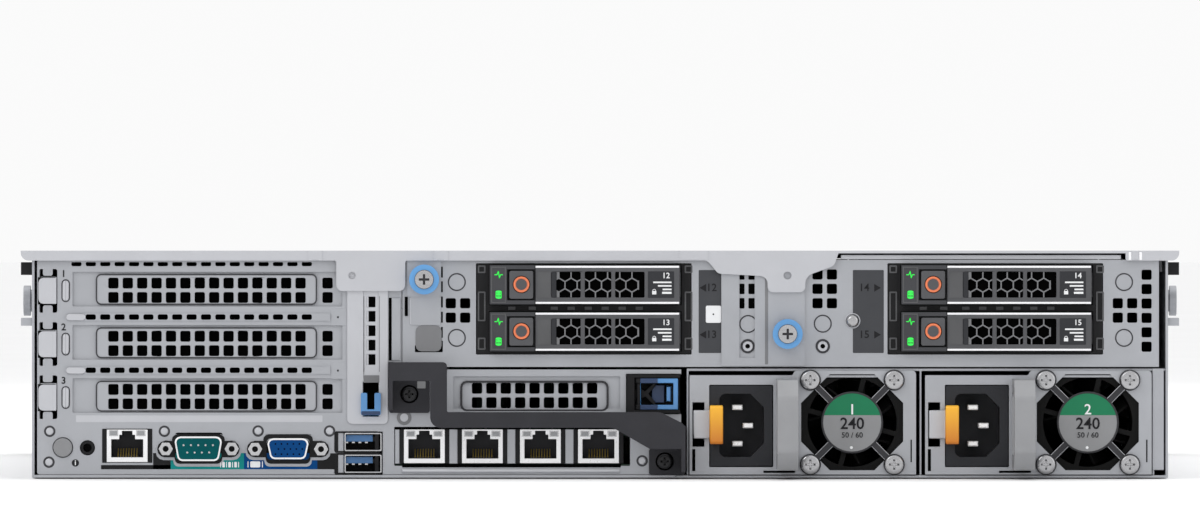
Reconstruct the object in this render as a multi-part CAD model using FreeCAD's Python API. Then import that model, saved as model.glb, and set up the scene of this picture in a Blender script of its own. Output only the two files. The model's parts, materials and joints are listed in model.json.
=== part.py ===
import FreeCAD, Part
import math
import os

V = FreeCAD.Vector

# A 2U rack server.  X runs to the right as seen from the rear, +Y runs from the rear wall to the front drive
# bays, +Z is up.  The origin is the centre of the footprint on the underside.  Millimetres.

# ---------------------------------------------------------------- sheet metal and fits
sheet = 1.0  # steel sheet of the chassis, panels and cover
thin_sheet = 0.8  # steel sheet of the power supplies and bay dividers
clear = 0.3  # gap between pieces that slide, turn or drop in

# ---------------------------------------------------------------- overall sizes
handle_reach = 36.7  # power-supply handle, behind the rear wall
wall_to_ear = 678.8  # rear wall to the front of the rack ears
face_depth = 22.0  # rack ears to the front drive faces
body_length = wall_to_ear + face_depth
y_rear = handle_reach - (handle_reach + body_length) / 2

id_offset = 11.8  # left wall to the identification button, and on from port to port
audio_pitch = 9.4
mgmt_pitch = 15.2
serial_pitch = 27.4
video_pitch = 34.1
usb_pitch = 28.6
net_pitch = 11.9  # USB centre to the opening of the network card
net_width = 90.1
net_margin = 19.7  # network card to the power-supply bays
audio_offset = id_offset + audio_pitch
mgmt_offset = audio_offset + mgmt_pitch
serial_offset = mgmt_offset + serial_pitch
video_offset = serial_offset + video_pitch
usb_offset = video_offset + usb_pitch
net_offset = usb_offset + net_pitch
io_width = net_offset + net_width + net_margin

psu_tab_width = 7.8  # release tab, left of the inlet
inlet_width = 23.9
handle_width = 7.9
fan_width = 39.0
psu_face_gap = 1.5  # inlet to handle, handle to fan
psu_edge = 4.9  # fan to the right edge
psu_width = psu_tab_width + inlet_width + handle_width + fan_width + 2 * psu_face_gap + psu_edge
bay_gap = 3.0
psu_height = 37.9
psu_gap = 3.5  # between the two power supplies
psu_margin = 6.3  # right power supply to the right wall
psu_depth = 185.0
body_width = io_width + bay_gap + 2 * psu_width + psu_gap + psu_margin
x_left = -body_width / 2
x_right = body_width / 2

slot_low = 30.86  # height of the lowest expansion slot
slot_pitch = 20.32
slot_count = 3
slot_headroom = 15.3  # top slot to the top of the cover
body_height = slot_low + (slot_count - 1) * slot_pitch + slot_headroom
z_roof = body_height - sheet
roof_gap = 0.5  # cover roof over the top of the side walls
z_wall = z_roof - roof_gap
z_floor = sheet

# ---------------------------------------------------------------- perforation
hole = 3.9  # square vent hole
hole_corner = 0.7
hole_pitch = 5.5

# ---------------------------------------------------------------- cover
lip_height = 3.8
lip_overhang = 4.2  # cover lip beyond each side wall
lip_stand = 1.3  # lip plate in front of the rear wall
lip_depth = 12.0
cover_length = 480.0
cover_travel = 14.0
latch_tub_depth = 9.0
latch_tub_width = 52.0
latch_tub_length = 84.0
latch_tub_start = 250.0  # rear wall to the tub
latch_pin = 2.0  # radius
latch_thick = 5.0

# ---------------------------------------------------------------- drives behind
disk_width = 69.85
disk_height = 9.5
disk_length = 100.0
carrier_wall = 1.575  # each side of the disk
carrier_width = disk_width + 2 * carrier_wall
carrier_inset = 5.3  # bay window edge to the carrier
carrier_margin = 4.1  # carrier to the right edge of the window
bay_width = carrier_inset + carrier_width + carrier_margin
bay_bottom = 47.1
bay_height = 34.9
bay_margin = 24.8  # right bay window to the right wall
bay_inset = 28.1  # cage flange to the left bay window
carrier_height = 14.9
carrier_pitch = 17.9
carrier_low = 48.4  # underside of the lower rear carrier
carrier_proud = 4.3  # carrier face behind the rear wall
cage_depth = 130.0
riser_edge = 141.2  # left wall to the right edge of the slot panel
cage_start = riser_edge + clear
cage_low = 42.4
bay_offsets = (cage_start + bay_inset, body_width - bay_margin - bay_width)  # from the left wall
strap_shift = 0.8
between_bays = (bay_offsets[0] + bay_width + bay_offsets[1]) / 2 - strap_shift

# ---------------------------------------------------------------- drives in front
front_columns = 4
front_rows = 3
front_pitch_x = 107.5
front_pitch_z = 27.6
front_low = 2.4
front_gap_x = 2.0
front_gap_z = 1.9
front_depth = 165.0
front_disk = (101.6, 24.0, 147.0)

# ---------------------------------------------------------------- rack ears and rail studs
ear_reach = 24.0  # ear beyond the side wall
ear_thick = 3.0
ear_hole = 3.45
ear_hole_offset = 15.55  # side wall to the rack hole
ear_hole_spacing = 76.2
ear_hole_low = 5.3
stud_radius = 5.8
stud_height = 67.6
stud_reach = 4.3
stud_neck = 1.6
stud_depths = (30.0, 220.0, 410.0, 600.0)  # rear wall to each pair of studs

# ---------------------------------------------------------------- inside
card_lift = 10.0  # motherboard to the network card
board_height = 3.6
board_thick = 1.6
fan_wall_depth = cover_length - 48.0
board_front = fan_wall_depth - 10.0
cpu_offset = 107.0
cpu_depth = fan_wall_depth - 142.0
sink_size = (90.0, 100.0, 58.0)
fin_thick = 2.0
fin_count = 12
dimm_length = 133.0
dimm_pitch = 9.0
dimm_count = 6  # on each side of each processor
dimm_height = 31.0
dimm_thick = 3.2
fan_count = 6
fan_size = 60.0
fan_thick = 38.0
fan_pitch = 69.0


# ================================================================ geometry helpers
PLANES = {
    "x": (lambda u, v, w: V(w, u, v), V(1, 0, 0)),
    "y": (lambda u, v, w: V(u, w, v), V(0, 1, 0)),
    "z": (lambda u, v, w: V(u, v, w), V(0, 0, 1)),
}


def deep(distance):
    """Y of a plane this far in front of the rear wall."""
    return y_rear + distance


def io(offset):
    """X of a place this far from the outer face of the left wall."""
    return x_left + offset


def rect(u0, u1, v0, v1, radius=0.0):
    """Corners of a rectangle, each with the same rounding."""
    return [(u0, v0, radius), (u1, v0, radius), (u1, v1, radius), (u0, v1, radius)]


def square(u, v, size, radius=0.0):
    """Corners of a square about a centre."""
    half = size / 2
    return rect(u - half, u + half, v - half, v + half, radius)


def wire(corners, normal, w):
    """A closed wire through (u, v, radius) corners, or a circle from a (u, v, radius) tuple."""
    place, axis = PLANES[normal]
    if isinstance(corners, tuple):
        u, v, radius = corners
        return Part.Wire(Part.makeCircle(radius, place(u, v, w), axis))
    count = len(corners)
    joints = []
    for i, (u, v, radius) in enumerate(corners):
        here = V(u, v, 0)
        if radius == 0:
            joints.append((here, here, here))
            continue
        back = V(*corners[i - 1][:2], 0) - here
        ahead = V(*corners[(i + 1) % count][:2], 0) - here
        back.normalize()
        ahead.normalize()
        half = back.getAngle(ahead) / 2
        reach = radius / math.tan(half)
        inward = back + ahead
        inward.normalize()
        middle = here + inward * (radius / math.sin(half) - radius)
        joints.append((here + back * reach, middle, here + ahead * reach))
    edges = []
    for i, (first, middle, last) in enumerate(joints):
        previous = joints[i - 1][2]
        if (first - previous).Length > 1e-6:
            edges.append(Part.makeLine(place(previous.x, previous.y, w), place(first.x, first.y, w)))
        if (last - first).Length > 1e-6:
            points = [place(p.x, p.y, w) for p in (first, middle, last)]
            edges.append(Part.Arc(*points).toShape())
    return Part.Wire(edges)


def slab(normal, w, thickness, outer, holes=()):
    """A flat plate standing on plane w, as thick as stated along +normal."""
    wires = [wire(outer, normal, w)] + [wire(h, normal, w) for h in holes]
    face = Part.makeFace(wires, "Part::FaceMakerBullseye")
    return face.extrude(PLANES[normal][1] * thickness)


def block(x0, x1, y0, y1, z0, z1):
    return Part.makeBox(x1 - x0, y1 - y0, z1 - z0, V(x0, y0, z0))


def rod(normal, u, v, w, radius, length):
    """A cylinder along +normal from plane w."""
    place, axis = PLANES[normal]
    return Part.makeCylinder(radius, length, place(u, v, w), axis)


def cut_all(shape, tools):
    return shape.cut(Part.makeCompound(tools)) if tools else shape


def join(shape, others):
    return shape.fuse(others).removeSplitter() if others else shape


def turned(shape, centre, axis, degrees):
    copy = shape.copy()
    copy.rotate(centre, axis, degrees)
    return copy


def vents(x, z, columns, rows, height=hole):
    """Square vent holes in columns and rows from the lower left centre."""
    half = hole / 2
    return [
        rect(x + c * hole_pitch - half, x + c * hole_pitch + half, z + r * hole_pitch - height / 2,
             z + r * hole_pitch + height / 2, min(hole_corner, height / 2.5))
        for c in range(columns)
        for r in range(rows)
    ]


def slot_z(number):
    """Height of expansion slot 1 (top) to slot_count (bottom)."""
    return slot_low + (slot_count - number) * slot_pitch


# ================================================================ power supplies
psu_low = z_floor + clear
psu_top = psu_low + psu_height
shelf_low = psu_top + 1.6
psu_proud = 1.0  # face plate behind the rear wall
inlet_low = 4.4
inlet_high = 35.3
psu_inlet = (psu_tab_width, psu_tab_width + inlet_width, inlet_low, inlet_high)
fan_low = 2.9
fan_high = 39.6
fan_left = psu_width - psu_edge - fan_width
fan_opening = (fan_left, fan_left + fan_width, fan_low, fan_high)
fan_centre = (fan_left + fan_width / 2, (fan_low + fan_high) / 2)
fan_screw_spacing = (32.0, 32.2)
fan_screw_head = 3.67
screw_land = 3.7  # fan opening's cut corners to the screw centres
fan_chamfer = (fan_width + fan_high - fan_low - sum(fan_screw_spacing)) / 2 + math.sqrt(2) * screw_land
psu_fan_depth = 28.0
psu_screw_shank = 1.0
psu_fan_bore = 17.0
psu_handle_left = psu_tab_width + inlet_width + psu_face_gap
psu_handle_low = 3.3
psu_handle_high = 37.8
psu_handle_grip = 5.5
psu_tab_travel = 3.0  # release tab, to the right
panel_lap = 0.6  # rear wall to the shelf and dividers
shelf_setback = 6.0  # shelf short of the power supplies
board_post = 3.2  # radius of the motherboard's posts


def psu_x(index):
    return x_left + io_width + bay_gap + index * (psu_width + psu_gap)


def psu_case(x):
    """Sheet case with its rear face plate and handle."""
    face_y = deep(-psu_proud)
    case_y = face_y + thin_sheet
    left, right, low, high = fan_opening
    bump = [
        (x, psu_low, 0), (x + psu_width, psu_low, 0), (x + psu_width, high + 1.4, 1.5),
        (x + left - 3.0, high + 1.4, 1.5), (x + left - 3.0, psu_top, 0.8), (x, psu_top, 0.8),
    ]
    octagon = chamfered(x + left, x + right, low, high, fan_chamfer)
    inlet = rect(x + psu_inlet[0] - clear, x + psu_inlet[1] + clear, psu_inlet[2] - clear,
                 psu_inlet[3] + clear, 0.5)
    hook = rect(x + 1.1, x + 2.4 + psu_tab_travel + clear, 11.9, 28.9)
    foot = rect(x + 28.3, x + 40.2, psu_low + 0.6, psu_handle_low - 0.6)
    screws = [(u, v, psu_screw_shank + 0.2) for u, v in fan_screws(x)]
    face = slab("y", face_y, thin_sheet, bump, [octagon, inlet, hook, foot] + screws)
    shell = block(x, x + psu_width, case_y, deep(psu_depth), psu_low, psu_top)
    hollow = block(x + thin_sheet, x + psu_width - thin_sheet, case_y - 1, deep(psu_depth) - thin_sheet,
                   psu_low + thin_sheet, psu_top - thin_sheet)
    end = deep(psu_depth)
    plug = block(x + 20, x + psu_width - 20.5, end - 2, end + 1, psu_low + thin_sheet, psu_low + 6.0)
    shell = cut_all(shell, [hollow, plug])
    return [face.fuse(shell), psu_handle(x)]


def chamfered(u0, u1, v0, v1, cut):
    """Corners of a rectangle with its corners cut at 45 degrees."""
    return [
        (u0 + cut, v0, 0), (u1 - cut, v0, 0), (u1, v0 + cut, 0), (u1, v1 - cut, 0),
        (u1 - cut, v1, 0), (u0 + cut, v1, 0), (u0, v1 - cut, 0), (u0, v0 + cut, 0),
    ]


def fan_screws(x):
    """Centres of the four fan screws."""
    du, dv = fan_screw_spacing[0] / 2, fan_screw_spacing[1] / 2
    return [(x + fan_centre[0] + i * du, fan_centre[1] + j * dv) for i in (-1, 1) for j in (-1, 1)]


def psu_handle(x):
    """Bent bar handle on the face plate, standing out to the rear."""
    foot = deep(-psu_proud)
    tip = deep(-handle_reach)
    slope = psu_handle_high - 30.9
    grip = psu_handle_grip
    outer = [
        (foot, psu_handle_low, 0), (foot, psu_handle_high, 0), (tip + slope, psu_handle_high, 3.0),
        (tip, psu_handle_high - slope, 3.0), (tip, psu_handle_low + slope, 3.0),
        (tip + slope, psu_handle_low, 3.0),
    ]
    inner = [
        (foot - 2.0, psu_handle_low + grip, 2.0), (foot - 2.0, psu_handle_high - grip, 2.0),
        (tip + slope + 2.3, psu_handle_high - grip, 2.0),
        (tip + grip, psu_handle_high - slope - 2.3, 2.0), (tip + grip, psu_handle_low + slope + 2.3, 2.0),
        (tip + slope + 2.3, psu_handle_low + grip, 2.0),
    ]
    return slab("x", x + psu_handle_left, handle_width, outer, [inner])


def psu_inlet_block(x):
    """Mains inlet with its recess and three blades, and the converter board behind it."""
    left, right, low, high = psu_inlet
    front = deep(-psu_proud)
    body = slab("y", front, 21.0, rect(x + left, x + right, low, high, 0.4))
    recess = slab("y", front - 1, 17.0, [
        (x + 11.4, 8.0, 2.5), (x + 23.2, 8.0, 0.8), (x + 28.4, 13.2, 0.8), (x + 28.4, 26.9, 0.8),
        (x + 23.2, 32.1, 0.8), (x + 11.4, 32.1, 2.5),
    ])
    blades = []
    for u, v in ((18.3, 26.9), (22.35, 19.95), (18.3, 13.0)):
        stem = block(x + u - 2.0, x + u + 2.0, front + 1.8, front + 16.0, v - 1.0, v + 1.0)
        edges = [e for e in stem.Edges if all(abs(p.Point.y - (front + 1.8)) < 1e-6 for p in e.Vertexes)]
        blades.append(stem.makeChamfer(0.4, edges))
    body = body.cut(recess)
    board_low = psu_low + thin_sheet
    board = block(x + 4.0, x + psu_width - 4.0, deep(32.0), deep(psu_depth - thin_sheet - 1.0),
                  board_low + clear, board_low + clear + board_thick)
    top = board_low + clear + board_thick
    cans = [rod("z", x + 22 + 22 * i, deep(60.0), top, 9.0, 26.0) for i in range(3)]
    coil = block(x + 14, x + 48, deep(100.0), deep(132.0), top, top + 24.0)
    fins = block(x + 56, x + 74, deep(85.0), deep(160.0), top, top + 28.0)
    edge = block(x + 22, x + psu_width - 22.5, deep(psu_depth - thin_sheet - 1.0), deep(psu_depth + 8.0),
                 board_low + clear, board_low + clear + board_thick)
    wires = block(x + 12, x + 26, front + 21.0, deep(36.0), 8.0, 20.0)
    board = board.fuse([edge])
    post = block(x + 12, x + 26, deep(33.0), deep(36.0), top, 8.0)
    return [body, board, wires.fuse([post])] + blades + cans + [coil, fins]


def psu_fan_guard(x):
    """Fan housing behind the face, finger guard in front of it and its four screws."""
    cu, cv = x + fan_centre[0], fan_centre[1]
    front = deep(-psu_proud)
    guard_y = front - clear - thin_sheet
    centres = fan_screws(x)
    disc = slab("y", guard_y, thin_sheet, (cu, cv, 11.5))
    spokes = []
    for u, v in centres:
        arm = block(0, math.hypot(u - cu, v - cv), guard_y, guard_y + thin_sheet, -1.3, 1.3)
        angle = math.degrees(math.atan2(v - cv, u - cu))
        arm.rotate(V(0, 0, 0), V(0, -1, 0), angle)
        arm.translate(V(cu, 0, cv))
        spokes += [arm, slab("y", guard_y, thin_sheet, (u, v, 3.0))]
    holes = [rod("y", u, v, guard_y - 1, psu_screw_shank + 0.2, 3.0) for u, v in centres]
    guard = cut_all(join(disc, spokes), holes)
    screws = []
    for u, v in centres:
        head = rod("y", u, v, guard_y - 1.6, fan_screw_head, 1.6)
        rim = [e for e in head.Edges if abs(e.CenterOfMass.y - (guard_y - 1.6)) < 1e-6]
        head = head.makeFillet(1.0, rim)
        screws.append(head.fuse([rod("y", u, v, guard_y, psu_screw_shank, thin_sheet + clear + 6.0)]))
    inner_low = psu_low + thin_sheet + clear
    inner_high = psu_top - thin_sheet - clear
    start = front + thin_sheet + clear
    half = fan_width / 2 + 0.1
    frame = block(cu - half, cu + half, start, start + psu_fan_depth, inner_low, inner_high)
    bores = [(cu, cv, psu_fan_bore)] + [(u, v, psu_screw_shank + 0.2) for u, v in centres]
    frame = cut_all(frame, [rod("y", u, v, start - 1, radius, psu_fan_depth + 2) for u, v, radius in bores])
    stays = [block(cu - 1.0, cu + 1.0, start, start + 1.6, cv, cv + psu_fan_bore + 0.4)]
    stays = [turned(stays[0], V(cu, 0, cv), V(0, 1, 0), 15 + 90 * k) for k in range(4)]
    mount = rod("y", cu, cv, start, 10.0, 1.6)
    frame = join(frame, stays + [mount]).cut(rod("y", cu, cv, start - 1, 1.5, 4.0))
    return [guard, frame] + screws


def psu_fan(x):
    """Impeller: hub, seven blades and the shaft that runs in the housing."""
    cu, cv = x + fan_centre[0], fan_centre[1]
    start = deep(-psu_proud) + thin_sheet + clear
    hub = rod("y", cu, cv, start + 1.9, 9.5, psu_fan_depth - 3.0)
    shaft = rod("y", cu, cv, start + 0.3, 1.45, 3.0)
    blades = []
    for k in range(7):
        blade = block(cu - 0.5, cu + 0.5, start + 3.5, start + psu_fan_depth - 3.5, cv + 8.0,
                      cv + psu_fan_bore - 1.0)
        blade = turned(blade, V(cu, start + psu_fan_depth / 2, cv), V(0, 0, 1), 26)
        blades.append(turned(blade, V(cu, 0, cv), V(0, 1, 0), 360 / 7 * k))
    return [join(hub, [shaft] + blades)]


def psu_latch(x):
    """Release tab on its spring arm, hooked through the slot in the face plate."""
    front = deep(-psu_proud) - clear
    tab = slab("x", x + 7.7, 5.1, rect(front - 7.0, front, 12.9, 27.8, 1.4))
    arm = block(x + 1.4, x + 7.7, front - 1.0, front, 15.0, 25.9)
    hook = block(x + 1.4, x + 2.4, front, front + 14.0, 15.0, 25.9)
    return [tab.fuse([arm, hook]).removeSplitter()]


# ================================================================ rear drives
def drive_box(index):
    """Lower left corner of rear drive 0 to 3: two bays, upper drive first."""
    bay, row = divmod(index, 2)
    x = io(bay_offsets[bay]) + carrier_inset
    return x, carrier_low + (1 - row) * carrier_pitch


def rear_carrier(x, z):
    """Carrier frame with its drive, open for the latch handle and the release button."""
    face = deep(-carrier_proud)
    back = deep(1.6)
    high = z + carrier_height
    strip = block(x, x + 6.6, face, back, z, high)
    edges = [block(x + 6.6, x + 17.2, face, back, z, z + 1.5),
             block(x + 6.6, x + 17.2, face, back, high - 1.5, high)]
    wall = slab("y", back, 1.4, rect(x, x + carrier_width, z, high), vents(x + 24.0, z + 4.7, 7, 2))
    ears = [carrier_ear(x, z), carrier_ear(x, high - 2.4)]
    rails = [block(x + u, x + u + 1.2, back + 1.4, deep(disk_length + 8.0), z + 1.0, high - 1.0)
             for u in (0.2, carrier_width - 1.4)]
    tray = block(x + 0.2, x + carrier_width - 0.2, back + 1.4, deep(disk_length + 8.0), z + 0.4, z + 1.4)
    frame = join(wall, [strip] + edges + ears + rails + [tray])
    middle = x + carrier_width / 2
    start, half = back + 4.0, disk_width / 2
    end = start + disk_length
    disk = block(middle - half, middle + half, start, end, z + 1.4, z + 1.4 + disk_height)
    plug = block(middle - 22, middle + 10, end, end + 3.0, z + 3.0, z + 6.5)
    pin_x, pin_y = handle_pin(x)
    pin = rod("z", pin_x, pin_y, z + 0.4, 0.6, carrier_height - 0.8)
    return [frame.fuse([pin]), disk.fuse([plug])]


def handle_pin(x):
    return x + carrier_width - 1.3, deep(-carrier_proud + 3.1)


def carrier_ear(x, z):
    """Lug that carries one end of the handle pin."""
    pin_x, pin_y = handle_pin(x)
    lug = rod("z", pin_x, pin_y, z, 1.0, 2.4)
    return lug.fuse([block(pin_x - 1.0, pin_x + 1.0, pin_y, deep(1.6), z, z + 2.4)])


def rear_handle(x, z):
    """Latch handle that swings out about the pin at its right end."""
    face = deep(-carrier_proud)
    left, right = x + 17.5, x + carrier_width - 0.5
    low, high = z + 0.2, z + carrier_height - 0.2
    windows = [rect(x + u0, x + u1, z + 2.6, z + 12.4, 0.5)
               for u0, u1 in ((23.5, 34.7), (36.3, 46.4), (47.9, 59.1))]
    plate = slab("y", face, 1.8, rect(left, right, low, high), windows)
    pin_x, pin_y = handle_pin(x)
    knuckle = rod("z", pin_x, pin_y, z + 2.7, 1.2, carrier_height - 5.4)
    web = block(pin_x - 1.2, pin_x + 0.8, face + 1.8, pin_y, z + 2.7, z + carrier_height - 2.7)
    bore = rod("z", pin_x, pin_y, z, 0.66, carrier_height)
    lip = block(left, left + 1.2, face + 1.8, face + 3.4, z + 4.0, z + 11.0)
    return [join(plate, [knuckle, web, lip]).cut(bore)]


def rear_button(x, z):
    """Square release button with a raised ring."""
    face = deep(-carrier_proud)
    cap = slab("y", face - 0.2, 4.0, rect(x + 7.5, x + 16.6, z + 2.1, z + 12.8, 0.8))
    ring = slab("y", face - 0.5, 0.3, (x + 12.1, z + 7.6, 3.0), [(x + 12.1, z + 7.6, 2.35)])
    return [cap.fuse([ring])]


def front_drive(column, row):
    """Front carrier: face with its vent, release button and lever, side rails and the disk."""
    x = (front_columns / 2 - 1 - column) * front_pitch_x + front_gap_x / 2
    z = front_low + (front_rows - 1 - row) * front_pitch_z
    wide, tall = front_pitch_x - front_gap_x, front_pitch_z - front_gap_z
    face = deep(body_length)
    right, high = x + wide, z + tall
    frame = slab("y", face - 10.0, 9.4, rect(x, right, z, high, 0.6),
                 [rect(x + 1.5, right - 6.0, z + 1.5, high - 1.5, 0.5)])
    back = slab("y", face - 12.0, 2.0, rect(x, right, z, high), [rect(x + 24, right - 24, z + 5, high - 5)])
    rails = [block(u, u + 1.5, face - front_depth, face - 12.0, z + 2.0, high - 2.0)
             for u in (x + 0.2, right - 1.7)]
    button = slab("y", face - 9.7, 9.7, rect(right - 19.0, right - 8.0, z + 4.0, high - 4.0, 1.0))
    handle = slab("y", face - 9.7, 9.7, rect(x + 2.0, right - 20.0, z + 2.0, high - 2.0, 0.6),
                  [rect(x + 22.0, right - 27.0, z + 4.8, high - 4.8, 1.0)])
    width, height, length = front_disk
    middle = x + wide / 2
    disk = block(middle - width / 2, middle + width / 2, face - 13.0 - length, face - 13.0, z + 0.8,
                 z + 0.8 + height)
    stop = block(x + 0.2, right - 0.2, face - front_depth, face - front_depth + 1.2, z + 2.0, z + 8.0)
    frame = join(frame, [back] + rails + [stop])
    return [frame, button, handle, disk]


# ================================================================ chassis
def chassis_base():
    """Floor pan with the side walls, and the dividers and shelf of the power-supply bays."""
    front = deep(body_length - 3.0)
    floor = block(x_left, x_right, deep(0.0), front, 0.0, z_floor)
    walls = [block(x, x + sheet, deep(0.0), front, 0.0, z_wall) for x in (x_left, x_right - sheet)]
    places = [(sign * u, d) for sign in (-1, 1) for u in (20.0, 195.0) for d in (230.0, board_front - 17.0)]
    places += [(io(u), d) for u in (10.0, 200.0) for d in (30.0, 150.0)]
    posts = [rod("z", x, deep(d), z_floor, board_post, board_height - z_floor) for x, d in places]
    return [join(floor, walls + posts), psu_shelf()]


def psu_shelf():
    """Shelf over the power-supply bays, on its three dividers."""
    bay = psu_x(0)
    start, end = deep(panel_lap), deep(psu_depth - shelf_setback)
    last = x_right - psu_margin + clear
    walls = [bay - clear - thin_sheet, bay + psu_width + (psu_gap - thin_sheet) / 2, last]
    dividers = [block(x, x + thin_sheet, start, end, z_floor, shelf_low) for x in walls]
    shelf = block(walls[0], x_right - sheet, start, end, shelf_low, shelf_low + sheet)
    strip = block(last, x_right - 1.6, deep(0.0), start, 3.0, shelf_low + sheet)
    return join(shelf, dividers + [strip])


lower_top = cage_low - 1.0  # top edge of the lower part of the rear panel
window = (2.7, 9.7)  # left and right edge of the bracket windows
opening = (15.5, 118.6)  # left and right edge of the slot openings
opening_height = 13.2


def bracket_window(z):
    """Window beside a slot, with a bent tongue above and below."""
    left, right = io(window[0]), io(window[1])
    tongue, tongue_end = left + 1.5, left + 5.2
    low, high = z - 8.4, z + 8.3
    return [
        (left, low, 0.8), (tongue, low, 0), (tongue, low + 2.8, 0.8), (tongue_end, low + 2.8, 0.8),
        (tongue_end, low, 0), (right, low, 0.8), (right, high, 0.8), (tongue_end, high, 0),
        (tongue_end, high - 2.6, 0.8), (tongue, high - 2.6, 0.8), (tongue, high, 0), (left, high, 0.8),
    ]


serial_at = (serial_offset, 11.1)
video_at = (video_offset, 11.0)
socket_cut = 9.1  # half width of the serial and video cut-outs
jackscrew_spacing = 25.2
jackscrew_hole = 3.2
id_button_at = (id_offset, 11.6)
id_button_radius = 3.65
audio_at = (audio_offset, 11.5)
audio_hole = 2.9
net_opening = (net_offset, net_offset + net_width, 4.6, 19.5)
jack_inset = 11.5  # network opening to the first socket
jack_margin = 12.1  # last socket to the end of the opening
jack_count = 4
jack_pitch = (net_width - jack_inset - jack_margin) / (jack_count - 1)
net_height = 12.05
mgmt_height = 12.25
usb_heights = (5.4, 13.7)
bead_slots = 16
bracket_left = opening[1] + 1.8
bracket_right = riser_edge - 5.1
clip_window = (bracket_left + 6.1, bracket_left + 12.1, 23.5, 36.7)
strap_left = bracket_right + clear
strap_pad_width = 15.6
strap_pads = (
    (strap_left, strap_left + strap_pad_width, 24.8, 37.4),
    (io_width - 12.5, io_width + 1.3, 1.2, 11.2),
)
strap_screws = ((strap_left + 7.8, 32.0), (io_width - 6.5, 6.3))
strap_screw = 3.1
strap_thick = 1.6
strap_reach = 15.0
latch_width = 21.1
latch_block = (io_width - 0.2 - latch_width, io_width - 0.2, 24.3, 39.8)  # left, right, low, high
low_slot = (strap_pads[0][1] + 6.9, latch_block[0] - 0.2, 25.4, 39.8)


def rear_panel():
    """Rear wall of the expansion slots and ports."""
    left, right = x_left + 2.0, io(io_width) - 0.2
    bottom, top = z_floor + clear, z_wall - 2.0
    outer = [
        (left, bottom, 1.0), (right, bottom, 0), (right, lower_top, 0), (io(riser_edge), lower_top, 0),
        (io(riser_edge), top, 0), (left, top, 1.0),
    ]
    holes = []
    for number in range(1, slot_count + 1):
        z = slot_z(number)
        holes.append(bracket_window(z))
        holes.append(rect(io(opening[0]), io(opening[1]), z + 0.6 - opening_height / 2,
                          z + 0.6 + opening_height / 2, 0.4))
    holes += vents(io(17.0), top - 1.6, 17, 1, 1.7)
    for number in range(1, slot_count):
        holes += vents(io(22.5), bead_z(number), bead_slots, 1, 2.1)
    holes.append(rect(io(mgmt_offset) - 9.6, io(mgmt_offset) + 9.6, 5.8, 18.8, 0.4))
    for (u, v), tall in ((serial_at, 6.2), (video_at, 5.7)):
        holes.append(rect(io(u) - socket_cut, io(u) + socket_cut, v - tall, v + tall, 1.0))
        holes += [(io(u) + side * jackscrew_spacing / 2, v, jackscrew_hole) for side in (-1, 1)]
    holes.append((io(id_button_at[0]), id_button_at[1], id_button_radius + clear))
    holes.append((io(audio_at[0]), audio_at[1], audio_hole))
    left_slot, right_slot, low, high = low_slot
    holes.append(rect(io(left_slot) + 2.0, io(right_slot) - 2.0, low + 1.0, high - 1.0, 0.4))
    for u0, u1, v0, v1 in (net_opening, latch_block, clip_window):
        holes.append(rect(io(u0), io(u1), v0, v1, 0.4))
    holes += [(io(u), v, strap_screw / 2 + clear) for u, v in strap_screws]
    panel = slab("y", deep(0.0), sheet, outer, holes)
    notch = block(io(usb_offset) - 7.5, io(usb_offset) + 7.5, deep(-1.0), deep(sheet + 1.0), 0.0, 17.7)
    panel = panel.cut(notch)
    beads = []
    for number in range(1, slot_count):
        z = bead_z(number)
        left_end, right_end = io(12.6), io(opening[1] - 4.6)
        outline = [
            (left_end, z - 1.4, 1.3), (right_end, z - 1.4, 0.3), (right_end, z + 1.4, 0.3),
            (left_end, z + 1.4, 1.3),
        ]
        beads.append(slab("y", deep(-0.6), 0.6, outline, vents(io(22.5), z, bead_slots, 1, 2.1)))
    flanges = [
        block(left, left + sheet, deep(sheet), deep(9.0), 4.0, top - 1.0),
        block(left + 2.0, io(riser_edge), deep(sheet), deep(9.0), top - 0.9, top),
    ]
    return [join(panel, beads + flanges)]


def bead_z(number):
    return (slot_z(number) + slot_z(number + 1)) / 2 + 0.1


def slot_blanks():
    """Blanking plates: three full-height slots and the low-profile slot."""
    plates = []
    back = deep(sheet + clear)
    raised = deep(clear)
    for number in range(1, slot_count + 1):
        z = slot_z(number) + 0.5
        field = vents(io(31.1), z - 3.1, 14, 2, 4.1)
        extra = vents(io(112.9), z - 3.1, 1, 2, 4.1)
        base = slab("y", back, sheet, rect(io(14.0), io(120.0), z - 7.4, z + 7.6), field + extra)
        front = slab("y", raised, back - raised, rect(io(24.4), io(108.9), z - 5.9, z + 5.9, 2.0), field)
        tab = block(io(window[0] + 0.5), io(window[1] - 0.2), deep(clear), back + sheet, z - 5.3, z + 4.8)
        foot = block(io(window[1] - 0.9), io(14.0), back, back + sheet, z - 5.3, z + 4.8)
        plates.append(join(base, [front, tab, foot]))
    left, right, low, high = low_slot
    columns = int((right - left - 21.0) / hole_pitch) + 1
    field = vents(io(left + 11.1), (low + high) / 2 - 3.9, columns, 2, 4.1)
    base = slab("y", back, sheet, rect(io(left), io(right) - 0.6, low - 0.6, high + 0.6), field)
    raised_edge = rect(io(left) + 4.7, io(right) - 6.7, low + 1.6, high - 1.6, 2.0)
    plates.append(join(base, [slab("y", raised, back - raised, raised_edge, field)]))
    return plates


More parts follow.
